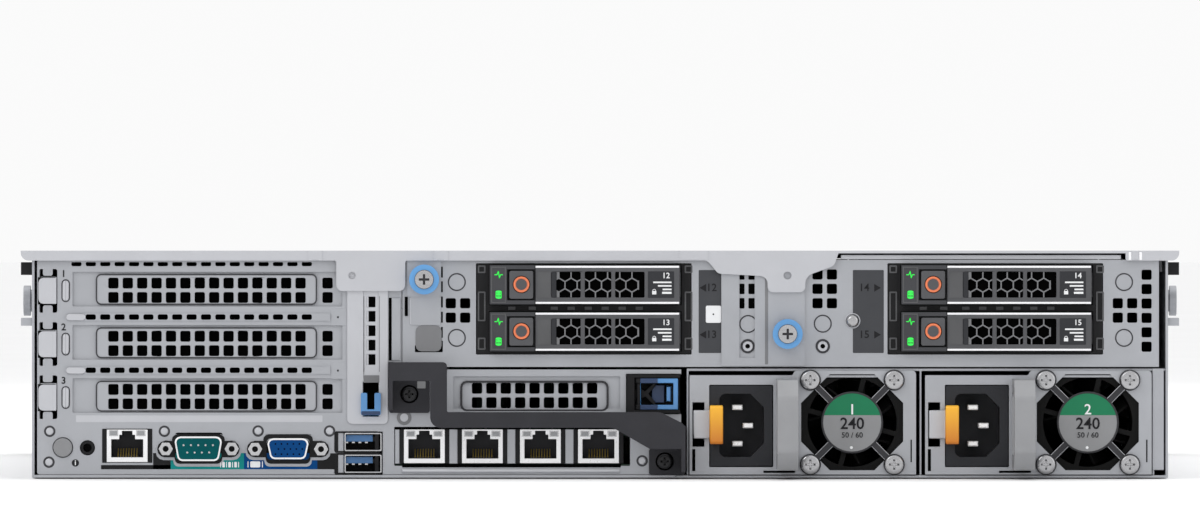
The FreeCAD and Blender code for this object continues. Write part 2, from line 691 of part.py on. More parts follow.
def riser_bracket():
    """Slotted bracket over the end of the slot blanks, with a shallow channel."""
    left, right = io(bracket_left), io(bracket_right)
    top = z_wall - 2.0
    highs = [top - 14.1 - hole_pitch * k for k in range(5)]
    slots = [rect(left + 7.5, left + 10.8, high - 4.0, high) for high in highs]
    slots.append(rect(io(clip_window[0]), io(clip_window[1]), clip_window[2], clip_window[3]))
    plate = slab("y", deep(-sheet), sheet, [
        (left, 20.5, 2.0), (right, 20.5, 2.0), (right, top, 0), (left, top, 0),
    ], slots)
    channel = block(left + 6.3, left + 11.9, deep(-sheet) - 1, deep(-sheet) + 0.4, 38.0, top - 11.0)
    bar = block(left + 6.6, left + 11.9, deep(-sheet), deep(-sheet) + 0.4, 37.0, 39.1)
    return [plate.cut(channel).fuse([bar]).removeSplitter()]


def riser_clip():
    """Forked touch-point clip that slides up in its window."""
    front = deep(-sheet) - clear
    centre = io((clip_window[0] + clip_window[1]) / 2)
    prongs = [slab("y", front - 2.4, 2.4, rect(x - 1.2, x + 1.2, 24.0, 32.5, 0.6))
              for x in (centre - 2.6, centre + 2.6)]
    base = block(centre - 3.6, centre + 3.6, front - 2.4, front, 24.4, 26.2)
    stem = block(centre - 2.6, centre + 2.6, front, deep(2.6), 24.0, 27.2)
    head = block(centre - 4.4, centre + 4.4, deep(2.6), deep(4.0), 24.0, 29.0)
    return [join(base, prongs + [stem, head])]


def cable_bar():
    """Bent strap across the ports that takes the cable ties, and its two screws."""
    out = deep(-strap_reach)
    left = io(strap_left)
    arm_left, arm_right = left + strap_pad_width + clear, left + strap_pad_width + clear + 6.4
    bar_low, bar_high = 19.3, 25.3
    right = io(io_width) + 1.4
    pads = [slab("y", deep(-strap_thick), strap_thick, rect(io(u0), io(u1), v0, v1, 1.0))
            for u0, u1, v0, v1 in strap_pads]
    front = slab("y", out, strap_thick, [
        (left, 37.2, 0.8), (arm_left, 37.2, 0.5), (arm_left, bar_low, 4.0), (right - 27.6, bar_low, 6.0),
        (right - 13.6, 11.2, 2.0), (right, 11.2, 0), (right, 20.5, 3.5), (right - 9.6, bar_high, 6.0),
        (arm_right, bar_high, 0.6), (arm_right, 44.3, 1.6), (left, 44.3, 0),
    ])
    legs = [
        block(left, left + strap_thick, out, deep(0.0), 26.0, 44.3),
        block(right - strap_thick, right, out, deep(0.0), 2.4, 20.0),
    ]
    bore = strap_screw / 2 + clear
    holes = [rod("y", io(u), v, deep(-strap_thick) - 1, bore, strap_thick + 2) for u, v in strap_screws]
    strap = cut_all(join(front, pads + legs), holes)
    screws = []
    for u, v in strap_screws:
        face = deep(-strap_thick)
        head = rod("y", io(u), v, face - 1.8, strap_screw, 1.8)
        rim = [e for e in head.Edges if abs(e.CenterOfMass.y - (face - 1.8)) < 1e-6]
        head = head.makeFillet(0.7, rim)
        screws.append(head.fuse([rod("y", io(u), v, face, strap_screw / 2, 5.4)]))
    return [strap] + screws


def latch_housing():
    """Housing of the low-profile riser latch."""
    left, right, low, high = latch_block
    front = deep(-1.6)
    x0, x1, z0, z1 = io(left) + clear, io(right) - clear, low + clear, high - clear
    top = block(x0, x1, front, deep(12.0), z1 - 1.3, z1)
    bottom = block(x0, x1, front, deep(12.0), z0, z0 + 1.3)
    side = block(x0, x0 + 3.0, front, deep(12.0), z0, z1)
    back = block(x0, x1, deep(9.0), deep(12.0), z0, z1)
    middle = (z0 + z1) / 2
    spur = block(x0 + 3.0, x0 + 6.5, deep(1.4), deep(9.0), middle - 1.6, middle + 1.6)
    prong = slab("y", deep(1.4), 8.0, [
        (x0 + 5.0, middle - 1.2, 0), (x0 + 7.2, middle - 1.2, 0), (x0 + 11.0, middle - 5.0, 0),
        (x0 + 11.0, middle - 3.2, 0), (x0 + 8.4, middle, 0), (x0 + 11.0, middle + 3.2, 0),
        (x0 + 11.0, middle + 5.0, 0), (x0 + 7.2, middle + 1.2, 0), (x0 + 5.0, middle + 1.2, 0),
    ])
    wedge = block(x0 + 9.6, x0 + 14.4, deep(3.0), deep(9.0), middle - 3.4, middle + 3.4)
    key = block(x0 + 15.2, x0 + 16.8, deep(0.6), deep(9.0), middle - 2.8, middle + 2.8)
    return [join(back, [top, bottom, side, spur, prong, wedge, key])]


def riser_latch():
    """U-shaped touch-point lever that swings out of the housing."""
    right, low, high = latch_block[1:]
    pivot_x, pivot_y = latch_pivot()
    z0, z1 = low + clear + 1.3 + 0.2, high - clear - 1.3 - 0.2
    front = deep(-1.4)
    arms = [block(pivot_x, io(right) - 1.2, front, front + 2.2, z, z + 1.8) for z in (z0, z1 - 1.8)]
    end = slab("y", front, 2.2, rect(io(right) - 3.0, io(right) - 1.2, z0, z1, 0.6))
    eyes = [rod("z", pivot_x, pivot_y, z, 1.4, 1.8) for z in (z0, z1 - 1.8)]
    pin = rod("z", pivot_x, pivot_y, z0, 0.8, z1 - z0)
    return [join(end, arms + eyes + [pin])]


def latch_pivot():
    """Pivot of the riser latch, beside the left cheek of its housing."""
    return io(latch_block[0]) + 4.9, deep(-0.3)


# ================================================================ ports
def jack(x, z, width=15.6, height=12.9, depth=21.0):
    """Network socket: shell with a plug cavity, latch notch and contact comb."""
    front = deep(-0.6)
    low, high = z - height / 2, z + height / 2
    body = slab("y", front, depth, rect(x - width / 2, x + width / 2, low, high))
    half_cavity = [
        (6.1, low + 1.8), (6.1, high - 3.7), (3.0, high - 3.7),
        (3.0, high - 2.0), (2.0, high - 2.0), (2.0, high - 0.5),
    ]
    cavity = [(x + u, v, 0) for u, v in half_cavity] + [(x - u, v, 0) for u, v in reversed(half_cavity)]
    body = body.cut(slab("y", front - 1, 15.0, cavity))
    comb = block(x - 4.1, x + 4.1, front + 4.0, front + 14.0, low + 1.8, low + 2.7)
    grooves = [block(u - 0.28, u + 0.28, front + 3.0, front + 13.0, low + 2.4, low + 3.0)
               for u in (x + 1.02 * k for k in range(-3, 4))]
    return body.fuse([cut_all(comb, grooves)])


def network_jacks():
    """Four sockets of the network card and the management socket."""
    first = io(net_offset + jack_inset)
    sockets = [jack(first + jack_pitch * k, net_height) for k in range(jack_count)]
    return sockets + [jack(io(mgmt_offset), mgmt_height, height=12.4)]


def port_connectors():
    """Serial, video, two USB and the small round socket, with their jackscrews."""
    solids = []
    for (u, v), wide, tall in ((serial_at, 16.7, 8.6), (video_at, 14.9, 7.3)):
        x = io(u)
        slope = 1.3
        shell = [(x - wide / 2 + slope, v - tall / 2, 1.8), (x + wide / 2 - slope, v - tall / 2, 1.8),
                 (x + wide / 2, v + tall / 2, 1.8), (x - wide / 2, v + tall / 2, 1.8)]
        body = slab("y", deep(-2.4), 5.0, shell)
        plate = slab("y", deep(1.4), 1.0, rect(x - 15.4, x + 15.4, v - 6.0, v + 6.0, 0.8))
        rear = block(x - 9.5, x + 9.5, deep(2.4), deep(14.0), v - 5.4, v + 5.4)
        solids.append(join(plate, [body, rear]))
    solids[0] = serial_inside(solids[0])
    solids[1] = video_inside(solids[1])
    for u, v in (serial_at, video_at):
        for side in (-1, 1):
            x = io(u) + side * jackscrew_spacing / 2
            solids.append(slab("y", deep(-3.6), 5.0, hexagon(x, v, 2.4), [(x, v, 1.1)]))
    x = io(usb_offset)
    for z in usb_heights:
        shell = slab("y", deep(-0.8), 18.0, rect(x - 7.1, x + 7.1, z - 3.5, z + 3.5, 0.5),
                     [rect(x - 6.6, x + 6.6, z - 3.0, z + 3.0, 0.3)])
        back = block(x - 6.6, x + 6.6, deep(13.0), deep(17.2), z - 3.0, z + 3.0)
        tongue = block(x - 5.6, x + 5.6, deep(0.6), deep(13.0), z + 0.2, z + 2.0)
        solids.append(join(shell, [back, tongue]))
    x, z = io(audio_at[0]), audio_at[1]
    barrel = slab("y", deep(-0.5), 12.0, (x, z, 2.6))
    solids.append(barrel.cut(rod("y", x, z, deep(-1.5), 1.6, 9.0)))
    return solids


def hexagon(x, z, flat):
    """Corners of an upright hexagon with this inscribed radius."""
    reach = flat / math.cos(math.pi / 6)
    angles = [math.pi / 3 * k for k in range(6)]
    return [(x + reach * math.cos(a), z + reach * math.sin(a), 0) for a in angles]


def serial_inside(shell):
    """Hollows the serial shell and stands its nine pins in it."""
    x, z = io(serial_at[0]), serial_at[1]
    hollow = slab("y", deep(-3.4), 6.0, [
        (x - 6.6, z - 3.7, 1.3), (x + 6.6, z - 3.7, 1.3), (x + 7.8, z + 3.7, 1.3), (x - 7.8, z + 3.7, 1.3),
    ])
    pins = [rod("y", x + 2.77 * (k - 2), z + 1.4, deep(-1.6), 0.5, 5.0) for k in range(5)]
    pins += [rod("y", x + 2.77 * (k - 1.5), z - 1.4, deep(-1.6), 0.5, 5.0) for k in range(4)]
    return shell.cut(hollow).fuse(pins)


def video_inside(shell):
    """Drills the fifteen contact holes of the video socket."""
    x, z = io(video_at[0]), video_at[1]
    places = [(x + 2.3 * (k - 2) + (1.1 if row == 1 else 0), z + 1.98 * (row - 1))
              for row in range(3) for k in range(5)]
    holes = [rod("y", u, v, deep(-3.4), 0.55, 5.0) for u, v in places]
    return cut_all(shell, holes)


def id_button():
    """System identification button."""
    x, z = io(id_button_at[0]), id_button_at[1]
    cap = rod("y", x, z, deep(-1.4), id_button_radius, 6.0)
    rim = [e for e in cap.Edges if abs(e.CenterOfMass.y - deep(-1.4)) < 1e-6]
    return [cap.makeFillet(0.6, rim).fuse([rod("y", x, z, deep(4.6), id_button_radius + 1.0, 1.0)])]


# ================================================================ rear drive cage
captive_offsets = ((cage_start + 8.4, 75.8), (between_bays, 55.0))
captive_knob = 5.7
captive_shank = 1.6


def cage_vents():
    """Square vents in the flange, beside and between the bays."""
    beside = bay_offsets[1] + bay_width
    return (vents(io(bay_offsets[0] - 9.6), 61.2, 2, 2) + vents(io(between_bays + 11.5), 66.7, 2, 3)
            + vents(io(beside + 5.6), 61.2, 2, 2) + vents(io(beside + 16.6), 50.1, 1, 6))


def rear_drive_cage():
    """Flange with the two bay windows, the sleeves behind them and the raised strap between."""
    left, right = io(cage_start), x_right - 3.5
    top = z_wall - 2.0
    holes = [rect(io(u), io(u) + bay_width, bay_bottom, bay_bottom + bay_height, 0.5) for u in bay_offsets]
    holes += cage_vents() + [(io(u), v, captive_shank + clear) for u, v in captive_offsets]
    flange = slab("y", deep(0.0), sheet, rect(left, right, cage_low, top), holes)
    sleeves = []
    for u in bay_offsets:
        x0, x1 = io(u) - sheet, io(u) + bay_width + sheet
        low, high = bay_bottom - sheet, bay_bottom + bay_height + sheet
        shell = block(x0, x1, deep(sheet), deep(cage_depth), low, high)
        hollow = block(x0 + sheet, x1 - sheet, deep(0.0), deep(cage_depth) + 1, low + sheet, high - sheet)
        sleeves.append(shell.cut(hollow))
    floor = block(left, right, deep(sheet), deep(cage_depth), cage_low, cage_low + sheet)
    foot_low = cage_low + sheet
    feet = [block(io(u) + k, io(u) + k + sheet, deep(sheet), deep(cage_depth), foot_low, bay_bottom - sheet)
            for u in bay_offsets for k in (4.0, bay_width - 5.0)]
    middle = io(between_bays)
    strap = slab("y", deep(-sheet), sheet, rect(middle - 25.2, middle + 6.6, cage_low + 0.4, top), [
        rect(middle - 18.4, middle - 12.5, 45.9, 80.8),
        (middle, captive_offsets[1][1], captive_shank + clear),
    ])
    pad = slab("y", deep(-sheet), sheet, [
        (left + 1.8, 69.2, 0.8), (left + 14.8, 69.2, 1.2), (left + 14.8, top, 0), (left + 1.8, top, 0),
    ], [(io(captive_offsets[0][0]), captive_offsets[0][1], captive_shank + clear)])
    plate = block(left + 3.3, left + 14.5, deep(-0.5), deep(0.0), 58.4, 69.2)
    sleeve_edges = [io(u) + side for u in bay_offsets for side in (-sheet, bay_width + sheet)]
    edges = [left + 2.0, *sleeve_edges, right - 2.0]
    lids = [block(x0, x1, deep(sheet), deep(9.0), top - 0.9, top) for x0, x1 in zip(edges[::2], edges[1::2])]
    return [join(flange, sleeves + [floor] + feet + [strap, pad, plate] + lids)]


def rear_bay_frames():
    """Plastic guide frame in each rear bay: two side guides and the rail between the drives."""
    frames = []
    rail_low = carrier_low + carrier_height + clear
    rail_high = carrier_low + carrier_pitch - clear
    for u in bay_offsets:
        x0, x1 = io(u) + clear, io(u) + bay_width - clear
        inner0 = io(u) + carrier_inset - clear
        inner1 = io(u) + carrier_inset + carrier_width + clear
        low, high = bay_bottom + clear, bay_bottom + bay_height - clear
        outline = rect(x0, x1, low, high)
        holes = [rect(inner0, inner1, low + 0.9, rail_low), rect(inner0, inner1, rail_high, high - 0.5)]
        frames.append(slab("y", deep(0.2), 28.0, outline, holes))
    return frames


def captive_screw(offset, height):
    """Knurled thumbscrew with its cross-recessed head and threaded shank."""
    x, z = io(offset), height
    root = deep(-sheet) - clear
    knob = rod("y", x, z, root - 7.0, captive_knob, 7.0)
    flutes = [rod("y", x + (captive_knob + 0.25) * math.cos(a), z + (captive_knob + 0.25) * math.sin(a),
                  root - 6.0, 0.5, 7.0) for a in (math.pi / 9 * k for k in range(18))]
    knob = cut_all(knob, flutes)
    head = rod("y", x, z, root - 7.8, 3.5, 0.8)
    shank = rod("y", x, z, root, captive_shank, 9.0)
    cross = [block(x - 2.0, x + 2.0, root - 9.0, root - 6.4, z - 0.45, z + 0.45),
             block(x - 0.45, x + 0.45, root - 9.0, root - 6.4, z - 2.0, z + 2.0)]
    return [cut_all(join(knob, [head, shank]), cross)]


# ================================================================ cover
cover_latch_pin_depth = latch_tub_start + latch_tub_length - 7.0
cover_latch_pin_height = z_roof - 3.6


def top_cover():
    """Sliding cover: roof, rear lip with two hanging tabs, side flanges and the latch tub."""
    lip_y = deep(-lip_stand - sheet)
    wing0, wing1 = x_left - lip_overhang, x_right + lip_overhang
    low = body_height - lip_height
    tub0, tub1 = -latch_tub_width / 2, latch_tub_width / 2
    start, end = deep(latch_tub_start), deep(latch_tub_start + latch_tub_length)
    roof = slab("z", z_roof, sheet, [
        (wing0, lip_y, 0), (wing1, lip_y, 0), (wing1, deep(lip_depth), 2.0), (x_right, deep(lip_depth), 0),
        (x_right, deep(cover_length), 0), (x_left, deep(cover_length), 0), (x_left, deep(lip_depth), 0),
        (wing0, deep(lip_depth), 2.0),
    ], [rect(tub0, tub1, start, end, 3.0)])
    tab0, tab1 = io(riser_edge - 24.9), io(riser_edge + 1.4)
    middle = io(between_bays)
    gap0, gap1 = middle + 19.8, io(bay_offsets[1] + bay_width + 8.5)
    tab_low, tab2_low, pilot = body_height - 15.4, body_height - 15.9, body_height - 9.5
    lip_left = slab("y", lip_y, sheet, [
        (wing0, low, 3.0), (tab0, low, 0.8), (tab0, tab_low, 2.4), (tab1, tab_low, 2.4), (tab1, low, 0.8),
        (middle - 30.5, low, 3.0), (middle - 26.5, low - 5.0, 3.0), (middle - 7.6, low - 6.0, 3.0),
        (middle - 7.6, tab2_low, 2.2), (middle + 6.8, tab2_low, 2.2), (middle + 6.8, low - 6.0, 4.0),
        (gap0 - 2.0, low - 2.0, 3.0), (gap0, body_height, 0), (wing0, body_height, 0),
    ], [(tab0 + 6.0, pilot, 1.4), (middle, pilot, 1.5)])
    lip_right = slab("y", lip_y, sheet, [
        (gap1, low, 0.8), (wing1, low, 3.0), (wing1, body_height, 0), (gap1, body_height, 0),
    ])
    places = ((tab0 - 10.8, 5.4), (tab1 + 11.0, 5.4), (middle - 41.3, 11.0), (gap1 + 2.3, 2.7))
    folds = [slab("y", lip_y - 0.4, 0.4, rect(x, x + w, low + 0.3, body_height)) for x, w in places]
    flange_y = deep(cover_travel + 11.0)
    flanges = [block(x, x + sheet, flange_y, deep(cover_length), z_roof - 7.0, z_roof)
               for x in (x_left + sheet + clear, x_right - 2 * sheet - clear)]
    tub = block(tub0 - sheet, tub1 + sheet, start - sheet, end + sheet, z_roof - latch_tub_depth, z_roof)
    tub_floor = z_roof - latch_tub_depth + sheet
    tub = tub.cut(slab("z", tub_floor, latch_tub_depth + 2, rect(tub0, tub1, start, end, 3.0)))
    pin_y = deep(cover_latch_pin_depth)
    cheeks = [block(x, x + 2.0, pin_y - 4.0, pin_y + 4.0, tub_floor, cover_latch_pin_height + 3.0)
              for x in (-23.0, 21.0)]
    pin = rod("x", deep(cover_latch_pin_depth), cover_latch_pin_height, -23.0, latch_pin, 46.0)
    cover = join(roof, [lip_left, lip_right] + folds + flanges + [tub])
    return [join(cover, cheeks + [pin])]


def cover_latch():
    """Cover release lever, hinged in the tub of the cover."""
    pin_y = deep(cover_latch_pin_depth)
    height = cover_latch_pin_height
    tip = deep(latch_tub_start + 4.0)
    top = z_roof + sheet - 0.6
    plate = slab("z", top - latch_thick + 2.0, latch_thick - 2.0, [
        (-20.0, pin_y - 2.0, 0), (-20.0, tip + 14.0, 6.0), (-12.0, tip, 5.0),
        (12.0, tip, 5.0), (20.0, tip + 14.0, 6.0), (20.0, pin_y - 2.0, 0),
    ], [rect(-11.0, 11.0, tip + 6.0, tip + 22.0, 4.0)])
    barrel = rod("x", pin_y, height, -20.0, 3.6, 40.0)
    web = block(-20.0, 20.0, pin_y - 3.6, pin_y, height, top)
    bore = rod("x", pin_y, height, -21.0, latch_pin + 0.08, 42.0)
    return [join(plate, [barrel, web]).cut(bore)]


# ================================================================ inside
def circuit_boards():
    """Motherboard, riser card, drive backplanes, power distribution and network cards."""
    low, high = board_height, board_height + board_thick
    start, usb_end, step, end = deep(4.6), deep(19.0), deep(psu_depth + 10.0), deep(board_front)
    left, right, inner = x_left + 3.0, x_right - 3.0, io(io_width) - 2.0
    usb0, usb1 = io(usb_offset) - 8.0, io(usb_offset) + 8.0
    mother = slab("z", low, board_thick, [
        (left, start, 0), (usb0, start, 0), (usb0, usb_end, 0), (usb1, usb_end, 0), (usb1, start, 0),
        (inner, start, 0), (inner, step, 0), (right, step, 0), (right, end, 0), (left, end, 0),
    ])
    riser_x = io(bracket_left + 1.6)
    riser = block(riser_x, riser_x + board_thick, deep(20.0), deep(180.0), high, z_roof - 7.8)
    power_y = deep(psu_depth + 11.0)
    power = block(psu_x(0) + 4.0, psu_x(1) + psu_width - 4.0, power_y, power_y + board_thick, high, psu_top)
    backplanes = [block(io(u) + 1.0, io(u) + bay_width - 1.0, deep(cage_depth + clear),
                        deep(cage_depth + clear + board_thick), bay_bottom - 1.0, bay_bottom + bay_height)
                  for u in bay_offsets]
    back = body_length - front_depth - 5.0
    corners = [((c - front_columns / 2) * front_pitch_x, front_low + r * front_pitch_z)
               for c in range(front_columns) for r in range(front_rows)]
    airways = [rect(x + 20.0, x + front_pitch_x - 19.5, z + 14.0, z + 24.0) for x, z in corners]
    outline = rect(left, right, z_floor, z_wall - 2.3)
    front_plane = slab("y", deep(back), board_thick, outline, airways)
    card0, card1 = io(net_offset) + 1.0, io(net_offset + net_width) - 1.0
    card_low = high + card_lift
    network = block(card0, card1, deep(21.0), deep(110.0), card_low, card_low + board_thick)
    posts = [rod("z", x, deep(d), high, 2.5, card_lift)
             for x in (card0 + 10.6, card1 - 12.5) for d in (40.0, 100.0)]
    return [mother, riser, power, front_plane, network] + backplanes + posts


def heatsinks():
    """Two finned processor heatsinks."""
    width, length, height = sink_size
    base = board_height + board_thick
    sinks = []
    for sign in (-1, 1):
        x = sign * cpu_offset - width / 2
        y = deep(cpu_depth)
        foot = block(x, x + width, y, y + length, base, base + 8.0)
        pitch = (width - fin_thick) / (fin_count - 1)
        starts = [x + pitch * k for k in range(fin_count)]
        fins = [block(u, u + fin_thick, y, y + length, base + 8.0, base + height) for u in starts]
        sinks.append(join(foot, fins))
    return sinks


def memory_modules():
    """Memory modules with their sockets, six on each side of each processor."""
    base = board_height + board_thick
    modules = []
    y = deep(cpu_depth + sink_size[1] / 2 - dimm_length / 2)
    for sign in (-1, 1):
        for side in (-1, 1):
            for k in range(dimm_count):
                x = sign * cpu_offset + side * (sink_size[0] / 2 + 5.0 + dimm_pitch * k)
                socket = block(x - 3.0, x + 3.0, y - 4.0, y + dimm_length + 4.0, base, base + 6.0)
                card = block(x - dimm_thick / 2, x + dimm_thick / 2, y, y + dimm_length, base + 6.0,
                             base + dimm_height)
                modules.append(socket.fuse([card]))
    return modules


def fan_modules():
    """Fan wall sheet with six fans, each a frame and an impeller."""
    solids = []
    y = deep(fan_wall_depth)
    low = z_floor + 4.0
    centre_z = low + fan_size / 2
    centres = [(k - (fan_count - 1) / 2) * fan_pitch for k in range(fan_count)]
    wall = slab("y", y, sheet, rect(x_left + 3.0, x_right - 3.0, z_floor, 76.0),
                [(x, centre_z, fan_size / 2 - 2.0) for x in centres])
    foot = block(x_left + 3.0, x_right - 3.0, y + sheet, y + fan_thick + 4.0, z_floor, low)
    solids.append(wall.fuse([foot]).removeSplitter())
    for x in centres:
        start = y + sheet
        half = fan_size / 2
        frame = block(x - half, x + half, start, start + fan_thick, low, low + fan_size)
        frame = frame.cut(rod("y", x, centre_z, start - 1, half - 1.5, fan_thick + 2))
        back = start + fan_thick
        stay = block(x - 1.5, x + 1.5, back - 3.0, back, centre_z, centre_z + half - 1.0)
        stays = [turned(stay, V(x, 0, centre_z), V(0, 1, 0), 45 + 90 * k) for k in range(4)]
        frame = join(frame, stays + [rod("y", x, centre_z, back - 3.0, 13.0, 3.0)])
        hub = rod("y", x, centre_z, start + 3.0, 13.0, fan_thick - 6.3)
        blade = block(x - 0.7, x + 0.7, start + 6.0, back - 8.0, centre_z + 11.0, centre_z + half - 2.5)
        blade = turned(blade, V(x, start + fan_thick / 2, centre_z), V(0, 0, 1), 28)
        blades = [turned(blade, V(x, 0, centre_z), V(0, 1, 0), 60 * k) for k in range(6)]
        solids += [frame, join(hub, blades)]
    return solids


def air_shroud():
    """Plastic duct over the processors and memory."""
    low = board_height + board_thick
    top = low + sink_size[2] + 5.0
    start, end = deep(cpu_depth - 22.0), deep(board_front)
    roof = block(x_left + 4.0, x_right - 4.0, start, end, top, top + 2.0)
    sides = [block(x, x + 2.0, start, end, low, top) for x in (x_left + 4.0, x_right - 6.0)]
    return [join(roof, sides)]


# ================================================================ front
def front_drive_cage():
    """Front cage of the drive bays, closed by its own fixed roof."""
    back, front = deep(body_length - front_depth - 3.0), deep(body_length - 12.6)
    half = front_columns * front_pitch_x / 2
    body = block(-half, half, back, front, z_floor, z_wall)
    cells = []
    for c in range(front_columns):
        for r in range(front_rows):
            x = -half + c * front_pitch_x + front_gap_x / 2 - clear
            z = front_low + r * front_pitch_z - clear
            cells.append(block(x, x + front_pitch_x - front_gap_x + 2 * clear, back - 1, front + 1, z,
                               z + front_pitch_z - front_gap_z + 2 * clear))
    body = cut_all(body, cells)
    roof = block(x_left, x_right, deep(cover_length + 0.6), front, z_wall, body_height)
    return [body.fuse([roof]).removeSplitter()]


def rack_ears():
    """Two rack ears with their control modules; the one at the right of the front holds the power button."""
    ears = []
    front = deep(wall_to_ear)
    for sign in (-1, 1):
        edge = x_right if sign > 0 else x_left
        outer = edge + sign * ear_reach
        low, high = 0.8, body_height - 1.0
        hole_x = edge + sign * ear_hole_offset
        holes = [(hole_x, z, ear_hole) for z in (ear_hole_low, ear_hole_low + ear_hole_spacing)]
        outline = rect(min(edge, outer), max(edge, outer), low, high)
        plate = slab("y", front - ear_thick, ear_thick, outline, holes)
        wall = edge, edge + sign * 1.4
        flange = block(min(wall), max(wall), front - 60.0, front - ear_thick, 4.0, z_wall - 6.0)
        side, face = outer - sign, deep(body_length) - 1.0
        module = slab("z", 12.0, 62.0, [
            (edge, front, 0), (side, front, 0), (side, front + 14.0, 3.0), (side - sign * 6.0, face, 3.0),
            (edge, face, 0),
        ])
        if sign < 0:
            x, z = power_button_at()
            module = module.cut(rod("y", x, z, face - 8.0, power_radius + clear, 12.0))
            module = module.cut(block(x - 2.6, x + 2.6, face - 12.0, face + 1.0, 26.0, 39.0))
        ears.append(join(plate, [flange, module]))
    return ears


power_radius = 4.6


def power_button_at():
    return x_left - 8.4, 58.0


def power_button():
    """Round power button in the ear at the right of the front."""
    x, z = power_button_at()
    face = deep(body_length) - 0.8
    cap = rod("y", x, z, face - 6.0, power_radius, 6.0)
    rim = [e for e in cap.Edges if abs(e.CenterOfMass.y - face) < 1e-6]
    return [cap.makeFillet(0.8, rim)]


def rail_studs():
    """Shoulder studs that hang the chassis in its rails, and the rear side brackets."""
    solids = []
    for sign in (-1, 1):
        edge = x_right if sign > 0 else x_left
        x0, x1 = (edge, edge + stud_reach) if sign > 0 else (edge - stud_reach, edge)
        cap_start = x0 + stud_neck if sign > 0 else x0
        for depth in stud_depths:
            neck = rod("x", deep(depth), stud_height, x0, stud_radius - 1.6, stud_reach)
            cap = rod("x", deep(depth), stud_height, cap_start, stud_radius, stud_reach - stud_neck)
            solids.append(join(neck, [cap]))
        solids.append(block(x0, x1, deep(2.0), deep(16.0), 77.5, 82.4))
        solids.append(block(x0, x1, deep(2.0), deep(12.0), 58.1, 61.1))
    return solids


# ================================================================ nodes
def all_nodes():
    """Every node's name with its solids."""
    nodes = {
        "chassis_base": chassis_base(),
        "rear_panel": rear_panel(),
        "front_drive_cage": front_drive_cage(),
        "rear_drive_cage": rear_drive_cage(),
        "rear_bay_frames": rear_bay_frames(),
        "slot_blanks": slot_blanks(),
        "riser_bracket": riser_bracket(),
        "cable_bar": cable_bar(),
        "latch_housing": latch_housing(),
        "network_jacks": network_jacks(),
        "port_connectors": port_connectors(),
        "circuit_boards": circuit_boards(),
        "heatsinks": heatsinks(),
        "memory_modules": memory_modules(),
        "fan_modules": fan_modules(),
        "air_shroud": air_shroud(),
        "rack_ears": rack_ears(),
        "rail_studs": rail_studs(),
        "top_cover": top_cover(),
        "cover_latch": cover_latch(),
        "captive_screw_left": captive_screw(*captive_offsets[0]),
        "captive_screw_right": captive_screw(*captive_offsets[1]),
        "riser_clip": riser_clip(),
        "riser_latch": riser_latch(),
        "id_button": id_button(),
        "power_button": power_button(),
    }
    for index in range(2):
        x = psu_x(index)
        name = f"psu_{index + 1}"
        nodes[f"{name}_case"] = psu_case(x)
        nodes[f"{name}_inlet"] = psu_inlet_block(x)
        nodes[f"{name}_fan_guard"] = psu_fan_guard(x)
        nodes[f"{name}_fan"] = psu_fan(x)
        nodes[f"{name}_latch"] = psu_latch(x)
    for index in range(4):
        x, z = drive_box(index)
        name = f"drive_{front_columns * front_rows + index}"
        nodes[f"{name}_carrier"] = rear_carrier(x, z)
        nodes[f"{name}_handle"] = rear_handle(x, z)
        nodes[f"{name}_button"] = rear_button(x, z)
    for column in range(front_columns):
        for row in range(front_rows):
            nodes[f"front_drive_{column * front_rows + row}"] = front_drive(column, row)
    return nodes


def main():
    os.makedirs("parts", exist_ok=True)
    for name, solids in all_nodes().items():
        shape = solids[0] if len(solids) == 1 else Part.makeCompound(solids)
        shape.exportStep(f"parts/{name}.step")
        print(name, len(solids), [len(s.Solids) for s in solids if len(s.Solids) != 1], shape.isValid())


main()
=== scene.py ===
"""The looks of a 2U rack server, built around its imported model.

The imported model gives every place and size.  Each sub-assembly is a class that reads the places of its own
nodes, builds the small fittings that the solids leave out, and gives every piece its finish.  All lengths
are in millimetres, in the model's own frame: X to the right seen from the rear, Y towards the front drive
bays, Z up.
"""

import json
import logging
import math
from collections.abc import Callable, Iterable, Sequence
from dataclasses import dataclass
from enum import Enum

import bmesh
import bpy
from mathutils import Matrix, Vector

